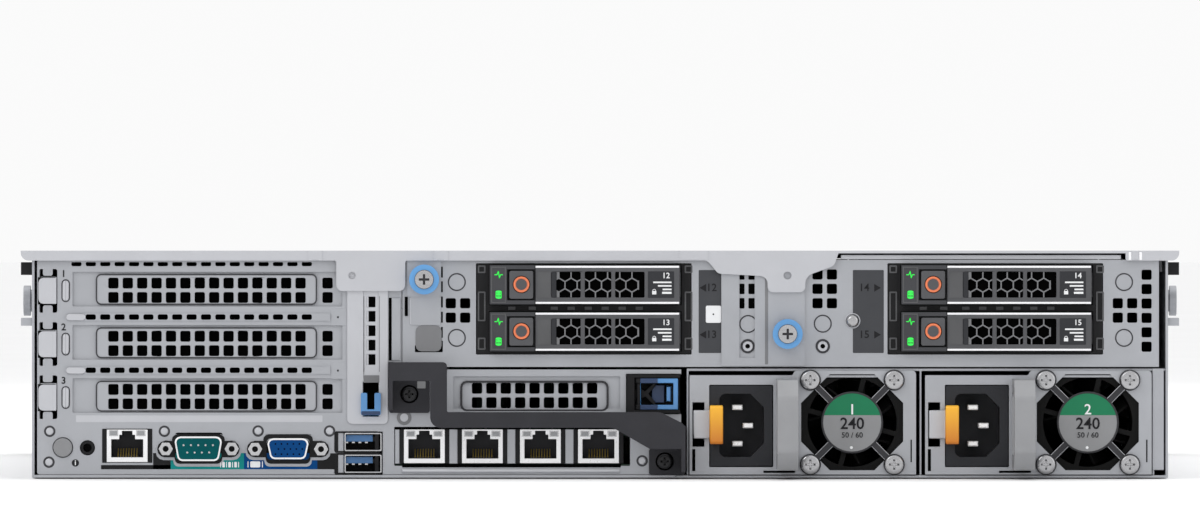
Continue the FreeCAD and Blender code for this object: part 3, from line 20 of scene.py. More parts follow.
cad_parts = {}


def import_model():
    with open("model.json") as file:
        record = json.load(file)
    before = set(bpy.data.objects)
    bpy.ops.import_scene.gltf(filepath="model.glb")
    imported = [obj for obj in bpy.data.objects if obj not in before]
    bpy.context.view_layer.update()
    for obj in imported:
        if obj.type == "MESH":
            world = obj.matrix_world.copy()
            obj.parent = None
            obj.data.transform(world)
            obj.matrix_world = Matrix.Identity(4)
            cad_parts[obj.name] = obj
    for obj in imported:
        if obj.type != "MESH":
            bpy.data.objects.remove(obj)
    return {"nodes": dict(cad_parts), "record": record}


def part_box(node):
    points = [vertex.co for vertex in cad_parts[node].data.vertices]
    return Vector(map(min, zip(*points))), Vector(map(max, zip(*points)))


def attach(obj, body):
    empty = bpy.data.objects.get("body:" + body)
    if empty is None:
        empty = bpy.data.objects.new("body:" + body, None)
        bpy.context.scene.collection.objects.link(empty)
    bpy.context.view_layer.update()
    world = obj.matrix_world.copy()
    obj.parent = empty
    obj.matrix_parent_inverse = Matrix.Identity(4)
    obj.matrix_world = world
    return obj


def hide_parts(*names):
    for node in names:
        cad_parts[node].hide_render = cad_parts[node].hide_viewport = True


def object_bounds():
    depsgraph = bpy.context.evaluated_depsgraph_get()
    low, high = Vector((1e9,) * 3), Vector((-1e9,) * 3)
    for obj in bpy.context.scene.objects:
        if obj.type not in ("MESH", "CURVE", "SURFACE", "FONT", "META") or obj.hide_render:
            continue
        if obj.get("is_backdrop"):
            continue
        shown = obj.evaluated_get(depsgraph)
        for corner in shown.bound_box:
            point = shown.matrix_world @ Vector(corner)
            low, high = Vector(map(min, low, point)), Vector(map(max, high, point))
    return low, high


Pair = tuple[float, float]
Triple = tuple[float, float, float]
Block = tuple[Pair, Pair, Pair]  # where a box starts and ends along X, Y and Z

LOG = logging.getLogger("server")
MM = 0.001
FLAT = math.radians(0.5)  # faces that meet at less are one face
CORNER = math.radians(30)  # edges sharper than this are broken
SMOOTH = math.radians(38)
MERGE = 0.004  # millimetres
RAISED = 0.6  # height of the rear wall's beads
PRESSED = 0.15  # share by which a wire ring is pressed flat
STRAYS = 0.02  # how far a bevel may stand out of the piece's box


class Face(Enum):
    """The way a piece or a picked face looks."""

    REAR = (0.0, -1.0, 0.0)
    FRONT = (0.0, 1.0, 0.0)
    TOP = (0.0, 0.0, 1.0)
    LEFT = (-1.0, 0.0, 0.0)
    RIGHT = (1.0, 0.0, 0.0)


# ------------------------------------------------------------------------------------------------ finishes
@dataclass(frozen=True)
class Finish:
    """One surface: its colour, gloss and fine texture.

    Sizes of the texture are in grains per metre, because materials read object coordinates.
    """

    name: str
    colour: Triple
    roughness: float = 0.5
    metallic: float = 0.0
    mottle: float = 0.06  # share by which the colour wanders
    mottle_scale: float = 35.0
    grain: float = 0.05  # height of the fine texture
    grain_scale: float = 1400.0
    stretch: Triple = (1.0, 1.0, 1.0)
    coat: float = 0.0
    glow: float = 0.0
    gloss: float = 0.5
    gloss_spread: float = 0.08  # how far the roughness wanders
    grain_depth: float = 0.0002
    patch_edges: Pair = (0.32, 0.68)

    def material(self) -> bpy.types.Material:
        """Returns the finish's material, made on first use.

        Returns:
            The material.
        """
        found = bpy.data.materials.get(self.name)
        if found:
            return found
        made = bpy.data.materials.new(self.name)
        made.use_nodes = True
        made.diffuse_color = (*self.colour, 1.0)
        nodes, links = made.node_tree.nodes, made.node_tree.links
        shader = nodes["Principled BSDF"]
        shader.inputs["Metallic"].default_value = self.metallic
        shader.inputs["Coat Weight"].default_value = self.coat
        shader.inputs["Specular IOR Level"].default_value = self.gloss
        if self.glow:
            shader.inputs["Emission Color"].default_value = (*self.colour, 1.0)
            shader.inputs["Emission Strength"].default_value = self.glow
        place = nodes.new("ShaderNodeTexCoord")
        turn = nodes.new("ShaderNodeMapping")
        turn.inputs["Scale"].default_value = self.stretch
        links.new(place.outputs["Object"], turn.inputs["Vector"])
        self.colour_nodes(made.node_tree, turn.outputs["Vector"], shader)
        fine = nodes.new("ShaderNodeTexNoise")
        fine.inputs["Scale"].default_value = self.grain_scale
        fine.inputs["Detail"].default_value = 3.0
        links.new(turn.outputs["Vector"], fine.inputs["Vector"])
        spread = nodes.new("ShaderNodeMapRange")
        spread.inputs["To Min"].default_value = max(0.05, self.roughness - self.gloss_spread)
        spread.inputs["To Max"].default_value = min(1.0, self.roughness + self.gloss_spread)
        links.new(fine.outputs["Fac"], spread.inputs["Value"])
        links.new(spread.outputs["Result"], shader.inputs["Roughness"])
        bump = nodes.new("ShaderNodeBump")
        bump.inputs["Strength"].default_value = self.grain
        bump.inputs["Distance"].default_value = self.grain_depth
        links.new(fine.outputs["Fac"], bump.inputs["Height"])
        links.new(bump.outputs["Normal"], shader.inputs["Normal"])
        return made

    def colour_nodes(self, tree: bpy.types.NodeTree, vector: bpy.types.NodeSocket,
                     shader: bpy.types.Node) -> None:
        """Lets the colour wander in soft patches.

        Args:
            tree: The material's node tree.
            vector: The place that textures read.
            shader: The shader whose colour is set.
        """
        patch = tree.nodes.new("ShaderNodeTexNoise")
        patch.inputs["Scale"].default_value = self.mottle_scale
        patch.inputs["Detail"].default_value = 4.0
        ramp = tree.nodes.new("ShaderNodeValToRGB")
        shares = (1.0 - self.mottle, 1.0 + self.mottle)
        for stop, share, position in zip(ramp.color_ramp.elements, shares, self.patch_edges):
            stop.color = (*(min(1.0, c * share) for c in self.colour), 1.0)
            stop.position = position
        tree.links.new(vector, patch.inputs["Vector"])
        tree.links.new(patch.outputs["Fac"], ramp.inputs["Fac"])
        tree.links.new(ramp.outputs["Color"], shader.inputs["Base Color"])


@dataclass(frozen=True)
class FadedFinish(Finish):
    """A finish that fades from one colour at a low height to another at a high one; used for painted light."""

    top_colour: Triple = (1.0, 1.0, 1.0)
    low: float = 0.0
    high: float = 1.0

    def colour_nodes(self, tree: bpy.types.NodeTree, vector: bpy.types.NodeSocket,
                     shader: bpy.types.Node) -> None:
        """Fades the colour with height.

        Args:
            tree: The material's node tree.
            vector: The place that textures read.
            shader: The shader whose colour is set.
        """
        split = tree.nodes.new("ShaderNodeSeparateXYZ")
        level = tree.nodes.new("ShaderNodeMapRange")
        level.inputs["From Min"].default_value = self.low
        level.inputs["From Max"].default_value = self.high
        ramp = tree.nodes.new("ShaderNodeValToRGB")
        ramp.color_ramp.elements[0].color = (*self.colour, 1.0)
        ramp.color_ramp.elements[1].color = (*self.top_colour, 1.0)
        tree.links.new(vector, split.inputs["Vector"])
        tree.links.new(split.outputs["Z"], level.inputs["Value"])
        tree.links.new(level.outputs["Result"], ramp.inputs["Fac"])
        tree.links.new(ramp.outputs["Color"], shader.inputs["Base Color"])


ZINC = Finish("zinc_sheet", (0.375, 0.385, 0.41), 0.42, 0.4, 0.03, 90.0, 0.04, 1800.0)
# Zinc painted lighter: painted highlight for lit faces, raised embossings, rivets and the cover.
ZINC_PAINTED_LIGHT = Finish("zinc_painted_light", (0.49, 0.497, 0.525), 0.40, 0.4, 0.02, 90.0, 0.035, 1800.0)
# Zinc painted darker: painted shade for the recessed lips of the slot blanks.
ZINC_PAINTED_SHADE = Finish("zinc_painted_shade", (0.27, 0.275, 0.30), 0.45, 0.4, 0.05, 60.0, 0.04, 1800.0)
STEEL = Finish("bright_steel", (0.42, 0.42, 0.43), 0.24, 1.0, 0.05, 90.0, 0.02, 900.0, (1.0, 1.0, 6.0))
SHIELD = Finish("jack_shield", (0.84, 0.84, 0.85), 0.30, 0.2, 0.03, 90.0, 0.02, 1200.0)
NICKEL = Finish("nickel_plate", (0.50, 0.50, 0.51), 0.26, 0.9, 0.04, 120.0, 0.012, 900.0)
# Painted shade: near black for creases, dark outlines and rings around raised and sunk features.
PAINTED_CREASE_SHADE = Finish("painted_crease_shade", (0.05, 0.05, 0.055), 0.45, 0.6, 0.08, 60.0, 0.05, 1500.0)
STRAP_COAT = Finish("strap_coat", (0.024, 0.024, 0.029), 0.6, 0.0, 0.12, 70.0, 0.2, 1700.0, gloss=0.3)
STRAP_SCREW = Finish("strap_screw", (0.016, 0.016, 0.018), 0.4, 0.3, 0.1, 70.0, 0.08, 1500.0, gloss=0.4)
BLACK = Finish("black_moulding", (0.007, 0.007, 0.008), 0.5, 0.0, 0.15, 80.0, 0.1, 1500.0, gloss=0.2)
FRAME_BLACK = Finish("guide_moulding", (0.009, 0.009, 0.01), 0.55, 0.0, 0.15, 80.0, 0.1, 1500.0, gloss=0.2)
FAN_BLACK = Finish("fan_moulding", (0.004, 0.004, 0.004), 0.55, 0.0, 0.15, 80.0, 0.1, 1500.0, gloss=0.12)
# Painted shade: black that stands for the shade in holes, gaps, slits and behind openings.
PAINTED_SHADE_BLACK = Finish("painted_shade_black", (0.002, 0.002, 0.002), 0.95, 0.0, 0.1, 80.0, 0.03, 900.0, gloss=0.0)
# Painted shade: dark rims and rings around bosses, fields, washers and the fan's disc.
PAINTED_RIM_SHADE = Finish("dark_rim", (0.03, 0.03, 0.034), 0.5, 0.0, 0.1, 80.0, 0.05, 1500.0, gloss=0.3)
GUIDE_GREY = Finish("guide_grey", (0.085, 0.086, 0.09), 0.5, 0.0, 0.08, 80.0, 0.08, 1500.0, gloss=0.3)
CARRIER = Finish("carrier_moulding", (0.042, 0.043, 0.048), 0.5, 0.0, 0.12, 70.0, 0.15, 1600.0, gloss=0.35)
HANDLE_DARK = Finish("drive_handle", (0.075, 0.076, 0.082), 0.5, 0.0, 0.1, 70.0, 0.15, 1600.0, gloss=0.35)
# Painted highlight: near-white lines that stand for the light along edges and folds.
PAINTED_EDGE_HIGHLIGHT = Finish("carrier_edge", (0.86, 0.86, 0.88), 0.3, 0.2, 0.03, 90.0, 0.02, 1200.0)
LABEL_DARK = Finish("label_panel", (0.02, 0.021, 0.025), 0.45, 0.0, 0.08, 90.0, 0.05, 1600.0, gloss=0.3)
HONEYCOMB = Finish("honeycomb_mesh", (0.17, 0.172, 0.18), 0.45, 0.2, 0.08, 90.0, 0.05, 1200.0)
INLET = Finish("inlet_moulding", (0.018, 0.019, 0.023), 0.55, 0.0, 0.1, 70.0, 0.15, 1500.0, gloss=0.3)
INLET_DEEP = Finish("inlet_recess", (0.034, 0.035, 0.040), 0.6, 0.0, 0.1, 70.0, 0.1, 1500.0, gloss=0.25)
# Painted highlight: the inlet's metal pins painted near white.
BLADE_PAINTED_HIGHLIGHT = Finish("inlet_blade_painted_highlight", (0.88, 0.88, 0.88), 0.3, 0.35, 0.04, 120.0, 0.02, 900.0)
TOUCH_BLUE = Finish("touch_point_blue", (0.085, 0.26, 0.55), 0.38, 0.0, 0.06, 90.0, 0.06, 1300.0, coat=0.15)
KNOB_BLUE = Finish("knob_blue", (0.10, 0.30, 0.60), 0.36, 0.0, 0.05, 90.0, 0.05, 1300.0, coat=0.1)
NAVY = Finish("latch_navy", (0.015, 0.04, 0.11), 0.42, 0.0, 0.08, 90.0, 0.06, 1300.0)
TEAL_BRIGHT = Finish("label_teal", (0.0, 0.22, 0.21), 0.5, 0.0, 0.05, 90.0, 0.05, 1300.0, gloss=0.2)
TEAL = Finish("serial_teal", (0.0, 0.078, 0.085), 0.6, 0.0, 0.06, 90.0, 0.06, 1300.0, gloss=0.08)
VIDEO_BLUE = Finish("video_blue", (0.002, 0.052, 0.19), 0.6, 0.0, 0.06, 90.0, 0.06, 1300.0, gloss=0.08)
USB_BLUE = Finish("usb_blue", (0.045, 0.135, 0.30), 0.42, 0.0, 0.05, 90.0, 0.05, 1300.0)
GOLD = Finish("gold_contact", (0.52, 0.38, 0.10), 0.35, 0.7, 0.05, 120.0, 0.03, 1200.0)
JACK_DARK = Finish("jack_inside", (0.055, 0.055, 0.062), 0.5, 0.0, 0.1, 90.0, 0.06, 1300.0, gloss=0.3)
LAMP = Finish("lamp_lens", (0.25, 0.255, 0.265), 0.25, 0.0, 0.04, 90.0, 0.02, 1200.0, coat=0.3)
GREEN_GLOW = Finish("status_green", (0.02, 0.62, 0.06), 0.4, 0.0, 0.02, 90.0, 0.01, 900.0, glow=0.55)
ORANGE_RING = Finish("release_orange", (0.80, 0.20, 0.08), 0.42, 0.0, 0.05, 90.0, 0.05, 1300.0)
GREY_CAP = Finish("grey_cap", (0.17, 0.172, 0.18), 0.48, 0.0, 0.05, 90.0, 0.08, 1500.0)
HANDLE_GREY = Finish("supply_handle", (0.27, 0.274, 0.285), 0.44, 0.1, 0.05, 90.0, 0.06, 1500.0)
BUTTON_GREY = Finish("locator_grey", (0.22, 0.222, 0.23), 0.5, 0.0, 0.05, 90.0, 0.08, 1500.0)
TONGUE_GREY = Finish("tongue_grey", (0.19, 0.192, 0.20), 0.46, 0.3, 0.05, 90.0, 0.04, 1500.0)
PRINT_DARK = Finish("dark_print", (0.012, 0.012, 0.014), 0.6, 0.0, 0.05, 120.0, 0.02, 1500.0, gloss=0.2)
PRINT_LIGHT = Finish("light_print", (0.78, 0.79, 0.80), 0.55, 0.0, 0.04, 120.0, 0.02, 1500.0)
LABEL_GREY = Finish("label_grey", (0.042, 0.044, 0.05), 0.5, 0.0, 0.05, 90.0, 0.05, 1500.0, gloss=0.35)
DISC_GREEN = Finish("disc_green", (0.0, 0.17, 0.07), 0.45, 0.0, 0.05, 90.0, 0.04, 1500.0, gloss=0.35)
DISC_GREY = Finish("disc_grey", (0.235, 0.238, 0.245), 0.5, 0.0, 0.04, 90.0, 0.04, 1500.0)
BOARD = Finish("board_green", (0.01, 0.07, 0.03), 0.4, 0.0, 0.25, 160.0, 0.3, 900.0)
ALUMINIUM = Finish("heatsink_fins", (0.55, 0.56, 0.58), 0.35, 0.9, 0.05, 60.0, 0.05, 900.0, (8.0, 1.0, 1.0))
# Painted light: the tab is darker orange at its foot and bright orange at its top, as if lit from above.
ORANGE_TAB_PAINTED_LIGHT = FadedFinish("latch_orange_painted_light", (0.60, 0.17, 0.0), 0.36, 0.0, grain=0.05, coat=0.15,
                         top_colour=(0.92, 0.46, 0.02), low=0.013, high=0.027)
FLOOR = Finish("studio_floor", (0.93, 0.93, 0.935), 0.75, 0.0, 0.01, 2.0, 0.02, 60.0)


# ------------------------------------------------------------------------------------------------ shaping
def activate(obj: bpy.types.Object) -> None:
    """Makes one object the only selected and the active one.

    Args:
        obj: The object.
    """
    bpy.ops.object.select_all(action="DESELECT")
    obj.select_set(True)
    bpy.context.view_layer.objects.active = obj


def span(node: str) -> tuple[Vector, Vector]:
    """Returns the lowest and highest corner of a node, in millimetres.

    Args:
        node: The node.

    Returns:
        Both corners.
    """
    low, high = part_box(node)
    return low / MM, high / MM


class Form:
    """A piece on the bench: one mesh in millimetres, shaped step by step and then placed in the model."""

    def __init__(self, obj: bpy.types.Object) -> None:
        """Takes an object whose mesh is in millimetres and whose own place is zero."""
        self.obj = obj

    # -- starts
    @classmethod
    def _added(cls) -> "Form":
        """Takes the primitive that was just added, with its place put into its mesh.

        Returns:
            The primitive.
        """
        obj = bpy.context.object
        bpy.ops.object.transform_apply(location=True, rotation=True, scale=True)
        return cls(obj)

    @classmethod
    def box(cls, x: Pair, y: Pair, z: Pair) -> "Form":
        """Starts from a box.

        Args:
            x: Left and right.
            y: Rear and front.
            z: Bottom and top.

        Returns:
            The box, all edges still sharp.
        """
        bpy.ops.object.select_all(action="DESELECT")
        centre = [(a + b) / 2 for a, b in (x, y, z)]
        bpy.ops.mesh.primitive_cube_add(size=1, location=centre, scale=[b - a for a, b in (x, y, z)])
        return cls._added()

    @classmethod
    def rod(cls, centre: Triple, radius: float, length: float,
            face: Face = Face.REAR, sides: int = 32) -> "Form":
        """Starts from a round bar.

        Args:
            centre: Middle of the end that faces the viewer.
            radius: Radius of the bar.
            length: Length, away from that end.
            face: The way that end looks.
            sides: Corners of its outline.

        Returns:
            The bar.
        """
        bpy.ops.object.select_all(action="DESELECT")
        way = Vector(face.value)
        middle = Vector(centre) - way * length / 2
        turn = way.to_track_quat("Z", "Y").to_euler()
        bpy.ops.mesh.primitive_cylinder_add(vertices=sides, radius=radius, depth=length,
                                            location=middle, rotation=turn)
        return cls._added()

    @classmethod
    def hoop(cls, centre: Triple, radius: float, wire: float,
             face: Face = Face.REAR) -> "Form":
        """Starts from a ring of wire that is pressed a little flat.

        Args:
            centre: Middle of the ring.
            radius: Radius of the wire's centre line.
            wire: Radius of the wire.
            face: The way the ring looks.

        Returns:
            The ring.
        """
        bpy.ops.object.select_all(action="DESELECT")
        turn = Vector(face.value).to_track_quat("Z", "Y").to_euler()
        bpy.ops.mesh.primitive_torus_add(major_radius=radius, minor_radius=wire, major_segments=36,
                                         minor_segments=8, location=centre, rotation=turn)
        ring = cls._added()
        ring._edit("FACE", lambda f: True)
        bpy.ops.transform.resize(value=[1.0 - PRESSED * abs(v) for v in face.value], center_override=centre)
        ring._done()
        return ring

    @classmethod
    def words(cls, text: str, centre: Triple, size: float, depth: float = 0.12,
              face: Face = Face.REAR, bold: float = 0.0) -> "Form":
        """Starts from raised lettering.

        Args:
            text: The digits or letters.
            centre: Middle of the lettering, on its front.
            size: Height of the type.
            depth: How far it stands out.
            face: The way it reads.
            bold: How far each stroke is thickened.

        Returns:
            The lettering as a mesh.
        """
        bpy.ops.object.select_all(action="DESELECT")
        turn = (math.pi / 2, 0.0, math.pi if face is Face.FRONT else 0.0)
        bpy.ops.object.text_add(location=centre, rotation=turn)
        obj = bpy.context.object
        obj.data.body = text
        obj.data.size = size
        obj.data.align_x, obj.data.align_y = "CENTER", "CENTER"
        obj.data.extrude = depth / 2
        obj.data.offset = bold
        obj.data.resolution_u = 3
        bpy.ops.object.convert(target="MESH")
        return cls._added()

    @classmethod
    def node(cls, name: str) -> "Form":
        """Starts from a merged copy of a node's solids.

        Args:
            name: The node.

        Returns:
            The copy, in millimetres.
        """
        mesh = bpy.data.objects[name].data.copy()
        mesh.materials.clear()
        mesh.transform(Matrix.Scale(1.0 / MM, 4))
        obj = bpy.data.objects.new(name + "_copy", mesh)
        bpy.context.scene.collection.objects.link(obj)
        form = cls(obj)
        activate(obj)
        bpy.ops.object.mode_set(mode="EDIT")
        bpy.ops.mesh.select_all(action="SELECT")
        bpy.ops.mesh.customdata_custom_splitnormals_clear()
        bpy.ops.mesh.remove_doubles(threshold=MERGE)
        bpy.ops.mesh.dissolve_limited(angle_limit=FLAT)
        bpy.ops.object.mode_set(mode="OBJECT")
        return form

    # -- edit mode
    def _edit(self, domain: str, choose: Callable[[bmesh.types.BMFace | bmesh.types.BMEdge], bool]) -> None:
        """Opens edit mode with the chosen faces or edges picked.

        Args:
            domain: "FACE" or "EDGE".
            choose: Says which are picked.
        """
        activate(self.obj)
        bpy.ops.object.mode_set(mode="EDIT")
        bpy.ops.mesh.select_mode(type=domain)
        bpy.ops.mesh.select_all(action="DESELECT")
        mesh = bmesh.from_edit_mesh(self.obj.data)
        for element in mesh.faces if domain == "FACE" else mesh.edges:
            if choose(element):
                element.select_set(True)
        bmesh.update_edit_mesh(self.obj.data)

    @staticmethod
    def _done() -> None:
        """Closes edit mode."""
        bpy.ops.object.mode_set(mode="OBJECT")

    def _end(self, face: Face) -> Callable[[bmesh.types.BMFace], bool]:
        """Returns a choice of the faces that look a way and lie furthest that way.

        Args:
            face: The way they look.

        Returns:
            Says of a face whether it is one of them.
        """
        way = Vector(face.value)
        reach = max(v.co.dot(way) for v in self.obj.data.vertices)
        return lambda f: f.normal.dot(way) > 0.95 and f.calc_center_median().dot(way) > reach - 0.01

    def round_along(self, way: Face, width: float, steps: int = 3) -> "Form":
        """Rounds the edges that run along a direction.

        Args:
            way: The direction, either way.
            width: Width of the rounding.
            steps: Faces across it.

        Returns:
            The piece.
        """
        line = Vector(way.value)

        def runs(edge: bmesh.types.BMEdge) -> bool:
            """Says whether an edge runs along the direction."""
            step = edge.verts[1].co - edge.verts[0].co
            return step.length > 1e-6 and abs(step.normalized().dot(line)) > 0.98

        self._edit("EDGE", runs)
        bpy.ops.mesh.bevel(offset=width, segments=steps, affect="EDGES")
        self._done()
        return self

    def round_end(self, face: Face, width: float, steps: int = 2) -> "Form":
        """Rounds the rim of the end that looks one way.

        Args:
            face: The way the end looks.
            width: Width of the rounding.
            steps: Faces across it.

        Returns:
            The piece.
        """
        way = Vector(face.value)
        reach = max(v.co.dot(way) for v in self.obj.data.vertices)

        def on_rim(edge: bmesh.types.BMEdge) -> bool:
            """Says whether an edge is on the rim of that end.

            Args:
                edge: The edge.

            Returns:
                Whether it is.
            """
            if any(v.co.dot(way) < reach - 0.01 for v in edge.verts) or len(edge.link_faces) != 2:
                return False
            return edge.calc_face_angle(0.0) > CORNER

        self._edit("EDGE", on_rim)
        bpy.ops.mesh.bevel(offset=width, segments=steps, affect="EDGES")
        self._done()
        return self

    def sink(self, face: Face, rim: float, depth: float) -> "Form":
        """Insets the end that looks one way and pushes it in, or out where depth is negative.

        Args:
            face: The way the end looks.
            rim: Width of the rim that stays.
            depth: How far the field is pushed in.

        Returns:
            The piece.
        """
        self._edit("FACE", self._end(face))
        bpy.ops.mesh.inset(thickness=rim, depth=0.0)
        shift = Vector(face.value) * -depth
        bpy.ops.mesh.extrude_region_move(TRANSFORM_OT_translate={"value": shift})
        self._done()
        return self

    def taper(self, face: Face, share: Triple) -> "Form":
        """Scales the end that looks one way about its own middle.

        Args:
            face: The way the end looks.
            share: What is left of its size along each axis.

        Returns:
            The piece.
        """
        self._edit("FACE", self._end(face))
        bpy.ops.transform.resize(value=share)
        self._done()
        return self

    def trim(self, point: Triple, way: Face) -> "Form":
        """Cuts off what lies beyond a plane, and closes the cut.

        Args:
            point: A point of the plane.
            way: The way the plane looks.

        Returns:
            The piece.
        """
        self._edit("FACE", lambda f: True)
        bpy.ops.mesh.bisect(plane_co=point, plane_no=way.value, use_fill=True, clear_outer=True)
        self._done()
        return self

    def stretch(self, face: Face, shift: Triple) -> "Form":
        """Moves the end that looks one way by a step.

        Args:
            face: The way the end looks.
            shift: The step.

        Returns:
            The piece.
        """
        self._edit("FACE", self._end(face))
        bpy.ops.transform.translate(value=shift)
        self._done()
        return self

    def taper_rows(self, middle: float, share: float) -> "Form":
        """Narrows what lies below a height, about the piece's own middle.

        Args:
            middle: The height.
            share: What is left of the width.

        Returns:
            The piece.
        """
        low, high = self.ends
        centre = ((low.x + high.x) / 2, (low.y + high.y) / 2, middle)
        self._edit("FACE", lambda f: all(v.co.z < middle for v in f.verts))
        bpy.ops.transform.resize(value=(share, 1.0, 1.0), center_override=centre)
        self._done()
        return self

    def turn(self, degrees: float) -> "Form":
        """Turns the piece about the Y axis, anticlockwise as seen from the rear.

        Args:
            degrees: The angle.

        Returns:
            The piece.
        """
        self._edit("FACE", lambda f: True)
        bpy.ops.transform.rotate(value=math.radians(degrees), orient_axis="Y", center_override=(0.0, 0.0, 0.0))
        self._done()
        return self

    def squash(self, share: float) -> "Form":
        """Flattens the piece in height about its own middle.

        Args:
            share: What is left of the height.

        Returns:
            The piece.
        """
        self._edit("FACE", lambda f: True)
        bpy.ops.transform.resize(value=(1.0, 1.0, share))
        self._done()
        return self

    def shrink(self, gap: float) -> "Form":
        """Draws every side in by a small gap.

        Args:
            gap: How far each side moves.

        Returns:
            The piece.
        """
        low, high = self.ends
        share = [1.0 - 2.0 * gap / (b - a) for a, b in zip(low, high)]
        self._edit("FACE", lambda f: True)
        bpy.ops.transform.resize(value=share, center_override=(low + high) / 2)
        self._done()
        return self

    # -- modifiers and joining
    def _modify(self, kind: str, **settings: object) -> None:
        """Adds a modifier with its settings and applies it.

        Args:
            kind: The kind of modifier.
            settings: Its settings by name.
        """
        activate(self.obj)
        modifier = self.obj.modifiers.new(kind.lower(), kind)
        for key, value in settings.items():
            setattr(modifier, key, value)
        bpy.ops.object.modifier_apply(modifier=modifier.name)

    def cut(self, *tools: "Form") -> "Form":
        """Cuts the tools out of the piece and throws them away.

        Args:
            tools: What is cut out.

        Returns:
            The piece.
        """
        for tool in tools:
            self._modify("BOOLEAN", operation="DIFFERENCE", solver="EXACT", object=tool.obj)
            tool.discard()
        return self

    def add(self, *others: "Form") -> "Form":
        """Joins other pieces to this one.

        Args:
            others: The other pieces.

        Returns:
            The piece.
        """
        activate(self.obj)
        for other in others:
            other.obj.select_set(True)
        if others:
            bpy.ops.object.join()
        return self

    @staticmethod
    def joined(forms: Sequence["Form"]) -> "Form":
        """Joins all pieces to the first one."""
        return forms[0].add(*forms[1:])

    def discard(self) -> None:
        """Takes the piece off the bench."""
        bpy.data.objects.remove(self.obj)

    def copy(self, shift: Triple | Vector = (0.0, 0.0, 0.0)) -> "Form":
        """Returns a copy with its own mesh, moved by a step.

        Args:
            shift: The step.

        Returns:
            The copy.
        """
        obj = bpy.data.objects.new(self.obj.name, self.obj.data.copy())
        bpy.context.scene.collection.objects.link(obj)
        obj.data.transform(Matrix.Translation(shift))
        return Form(obj)

    def at_each(self, shifts: Iterable[Triple]) -> "Form":
        """Puts a copy at each step from here and keeps the copies as one piece.

        Args:
            shifts: The steps.

        Returns:
            The copies, joined.
        """
        copies = [self.copy(shift) for shift in shifts]
        self.discard()
        return self.joined(copies)

    def soften(self, width: float, steps: int = 2) -> "Form":
        """Breaks the sharp edges and shades the rest smooth.

        A bevel that throws a point far out of the piece's own box is taken back and tried again with a width
        that gives way to its neighbours.

        Args:
            width: Width of the bevel.
            steps: Faces across the bevel.

        Returns:
            The piece.
        """
        activate(self.obj)
        bpy.ops.object.shade_smooth()
        sharp, (low, high) = self.obj.data.copy(), self.ends
        for gives_way in (False, True):
            self._modify("BEVEL", width=width, segments=steps, limit_method="ANGLE", angle_limit=CORNER,
                         use_clamp_overlap=gives_way, harden_normals=True)
            least, most = self.ends
            if max(*(low - least), *(most - high)) < (width if gives_way else STRAYS):
                for vertex in self.obj.data.vertices:
                    vertex.co = [min(max(v, a), b) for v, a, b in zip(vertex.co, low, high)]
                return self
            self.obj.data = sharp.copy()
        LOG.info("%s keeps its sharp edges", self.obj.name)
        return self.smooth()

    def smooth(self) -> "Form":
        """Shades gentle edges smooth and keeps the corners.

        Returns:
            The piece.
        """
        activate(self.obj)
        bpy.ops.object.shade_smooth_by_angle(angle=SMOOTH)
        return self

    def solids(self) -> list["Form"]:
        """Takes the piece apart into its separate solids.

        Returns:
            The solids, the widest first.
        """
        activate(self.obj)
        bpy.ops.mesh.separate(type="LOOSE")
        forms = [Form(obj) for obj in bpy.context.selected_objects]
        return sorted(forms, key=lambda form: form.ends[0].x - form.ends[1].x)

    def paint(self, finish: Finish, choose: Callable[[Vector, Vector], bool]) -> "Form":
        """Gives some faces another finish.

        Args:
            finish: The finish.
            choose: Picks faces by their middle and normal.

        Returns:
            The piece, whose first finish is still to come.
        """
        if not self.obj.data.materials:
            self.obj.data.materials.append(None)
        self.obj.data.materials.append(finish.material())
        last = len(self.obj.data.materials) - 1
        for face in self.obj.data.polygons:
            if choose(face.center, face.normal):
                face.material_index = last
        return self

    @property
    def ends(self) -> tuple[Vector, Vector]:
        """Lowest and highest corner of the piece.

        Returns:
            Both corners.
        """
        points = [v.co for v in self.obj.data.vertices]
        low = Vector([min(p[k] for p in points) for k in range(3)])
        high = Vector([max(p[k] for p in points) for k in range(3)])
        return low, high

    def place(self, name: str, body: str, finish: Finish, slot: str = "",
              stands_for: tuple[str, ...] = ()) -> bpy.types.Object:
        """Puts the piece into the model.

        Args:
            name: Name of the piece.
            body: The moving body that it rides on.
            finish: Its main finish.
            slot: Not used.
            stands_for: Nodes that it is shown instead of.

        Returns:
            The placed object.
        """
        obj = self.obj
        obj.name = name
        obj.data.name = name
        obj.data.transform(Matrix.Scale(MM, 4))
        if obj.data.materials:
            obj.data.materials[0] = finish.material()
        else:
            obj.data.materials.append(finish.material())
        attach(obj, body)
        if stands_for:
            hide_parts(*stands_for)
        LOG.info("%s rides on %s", name, body)
        return obj

    def fix(self, name: str, finish: Finish) -> None:
        """Puts the piece onto the chassis."""
        self.place(name, "chassis", finish)


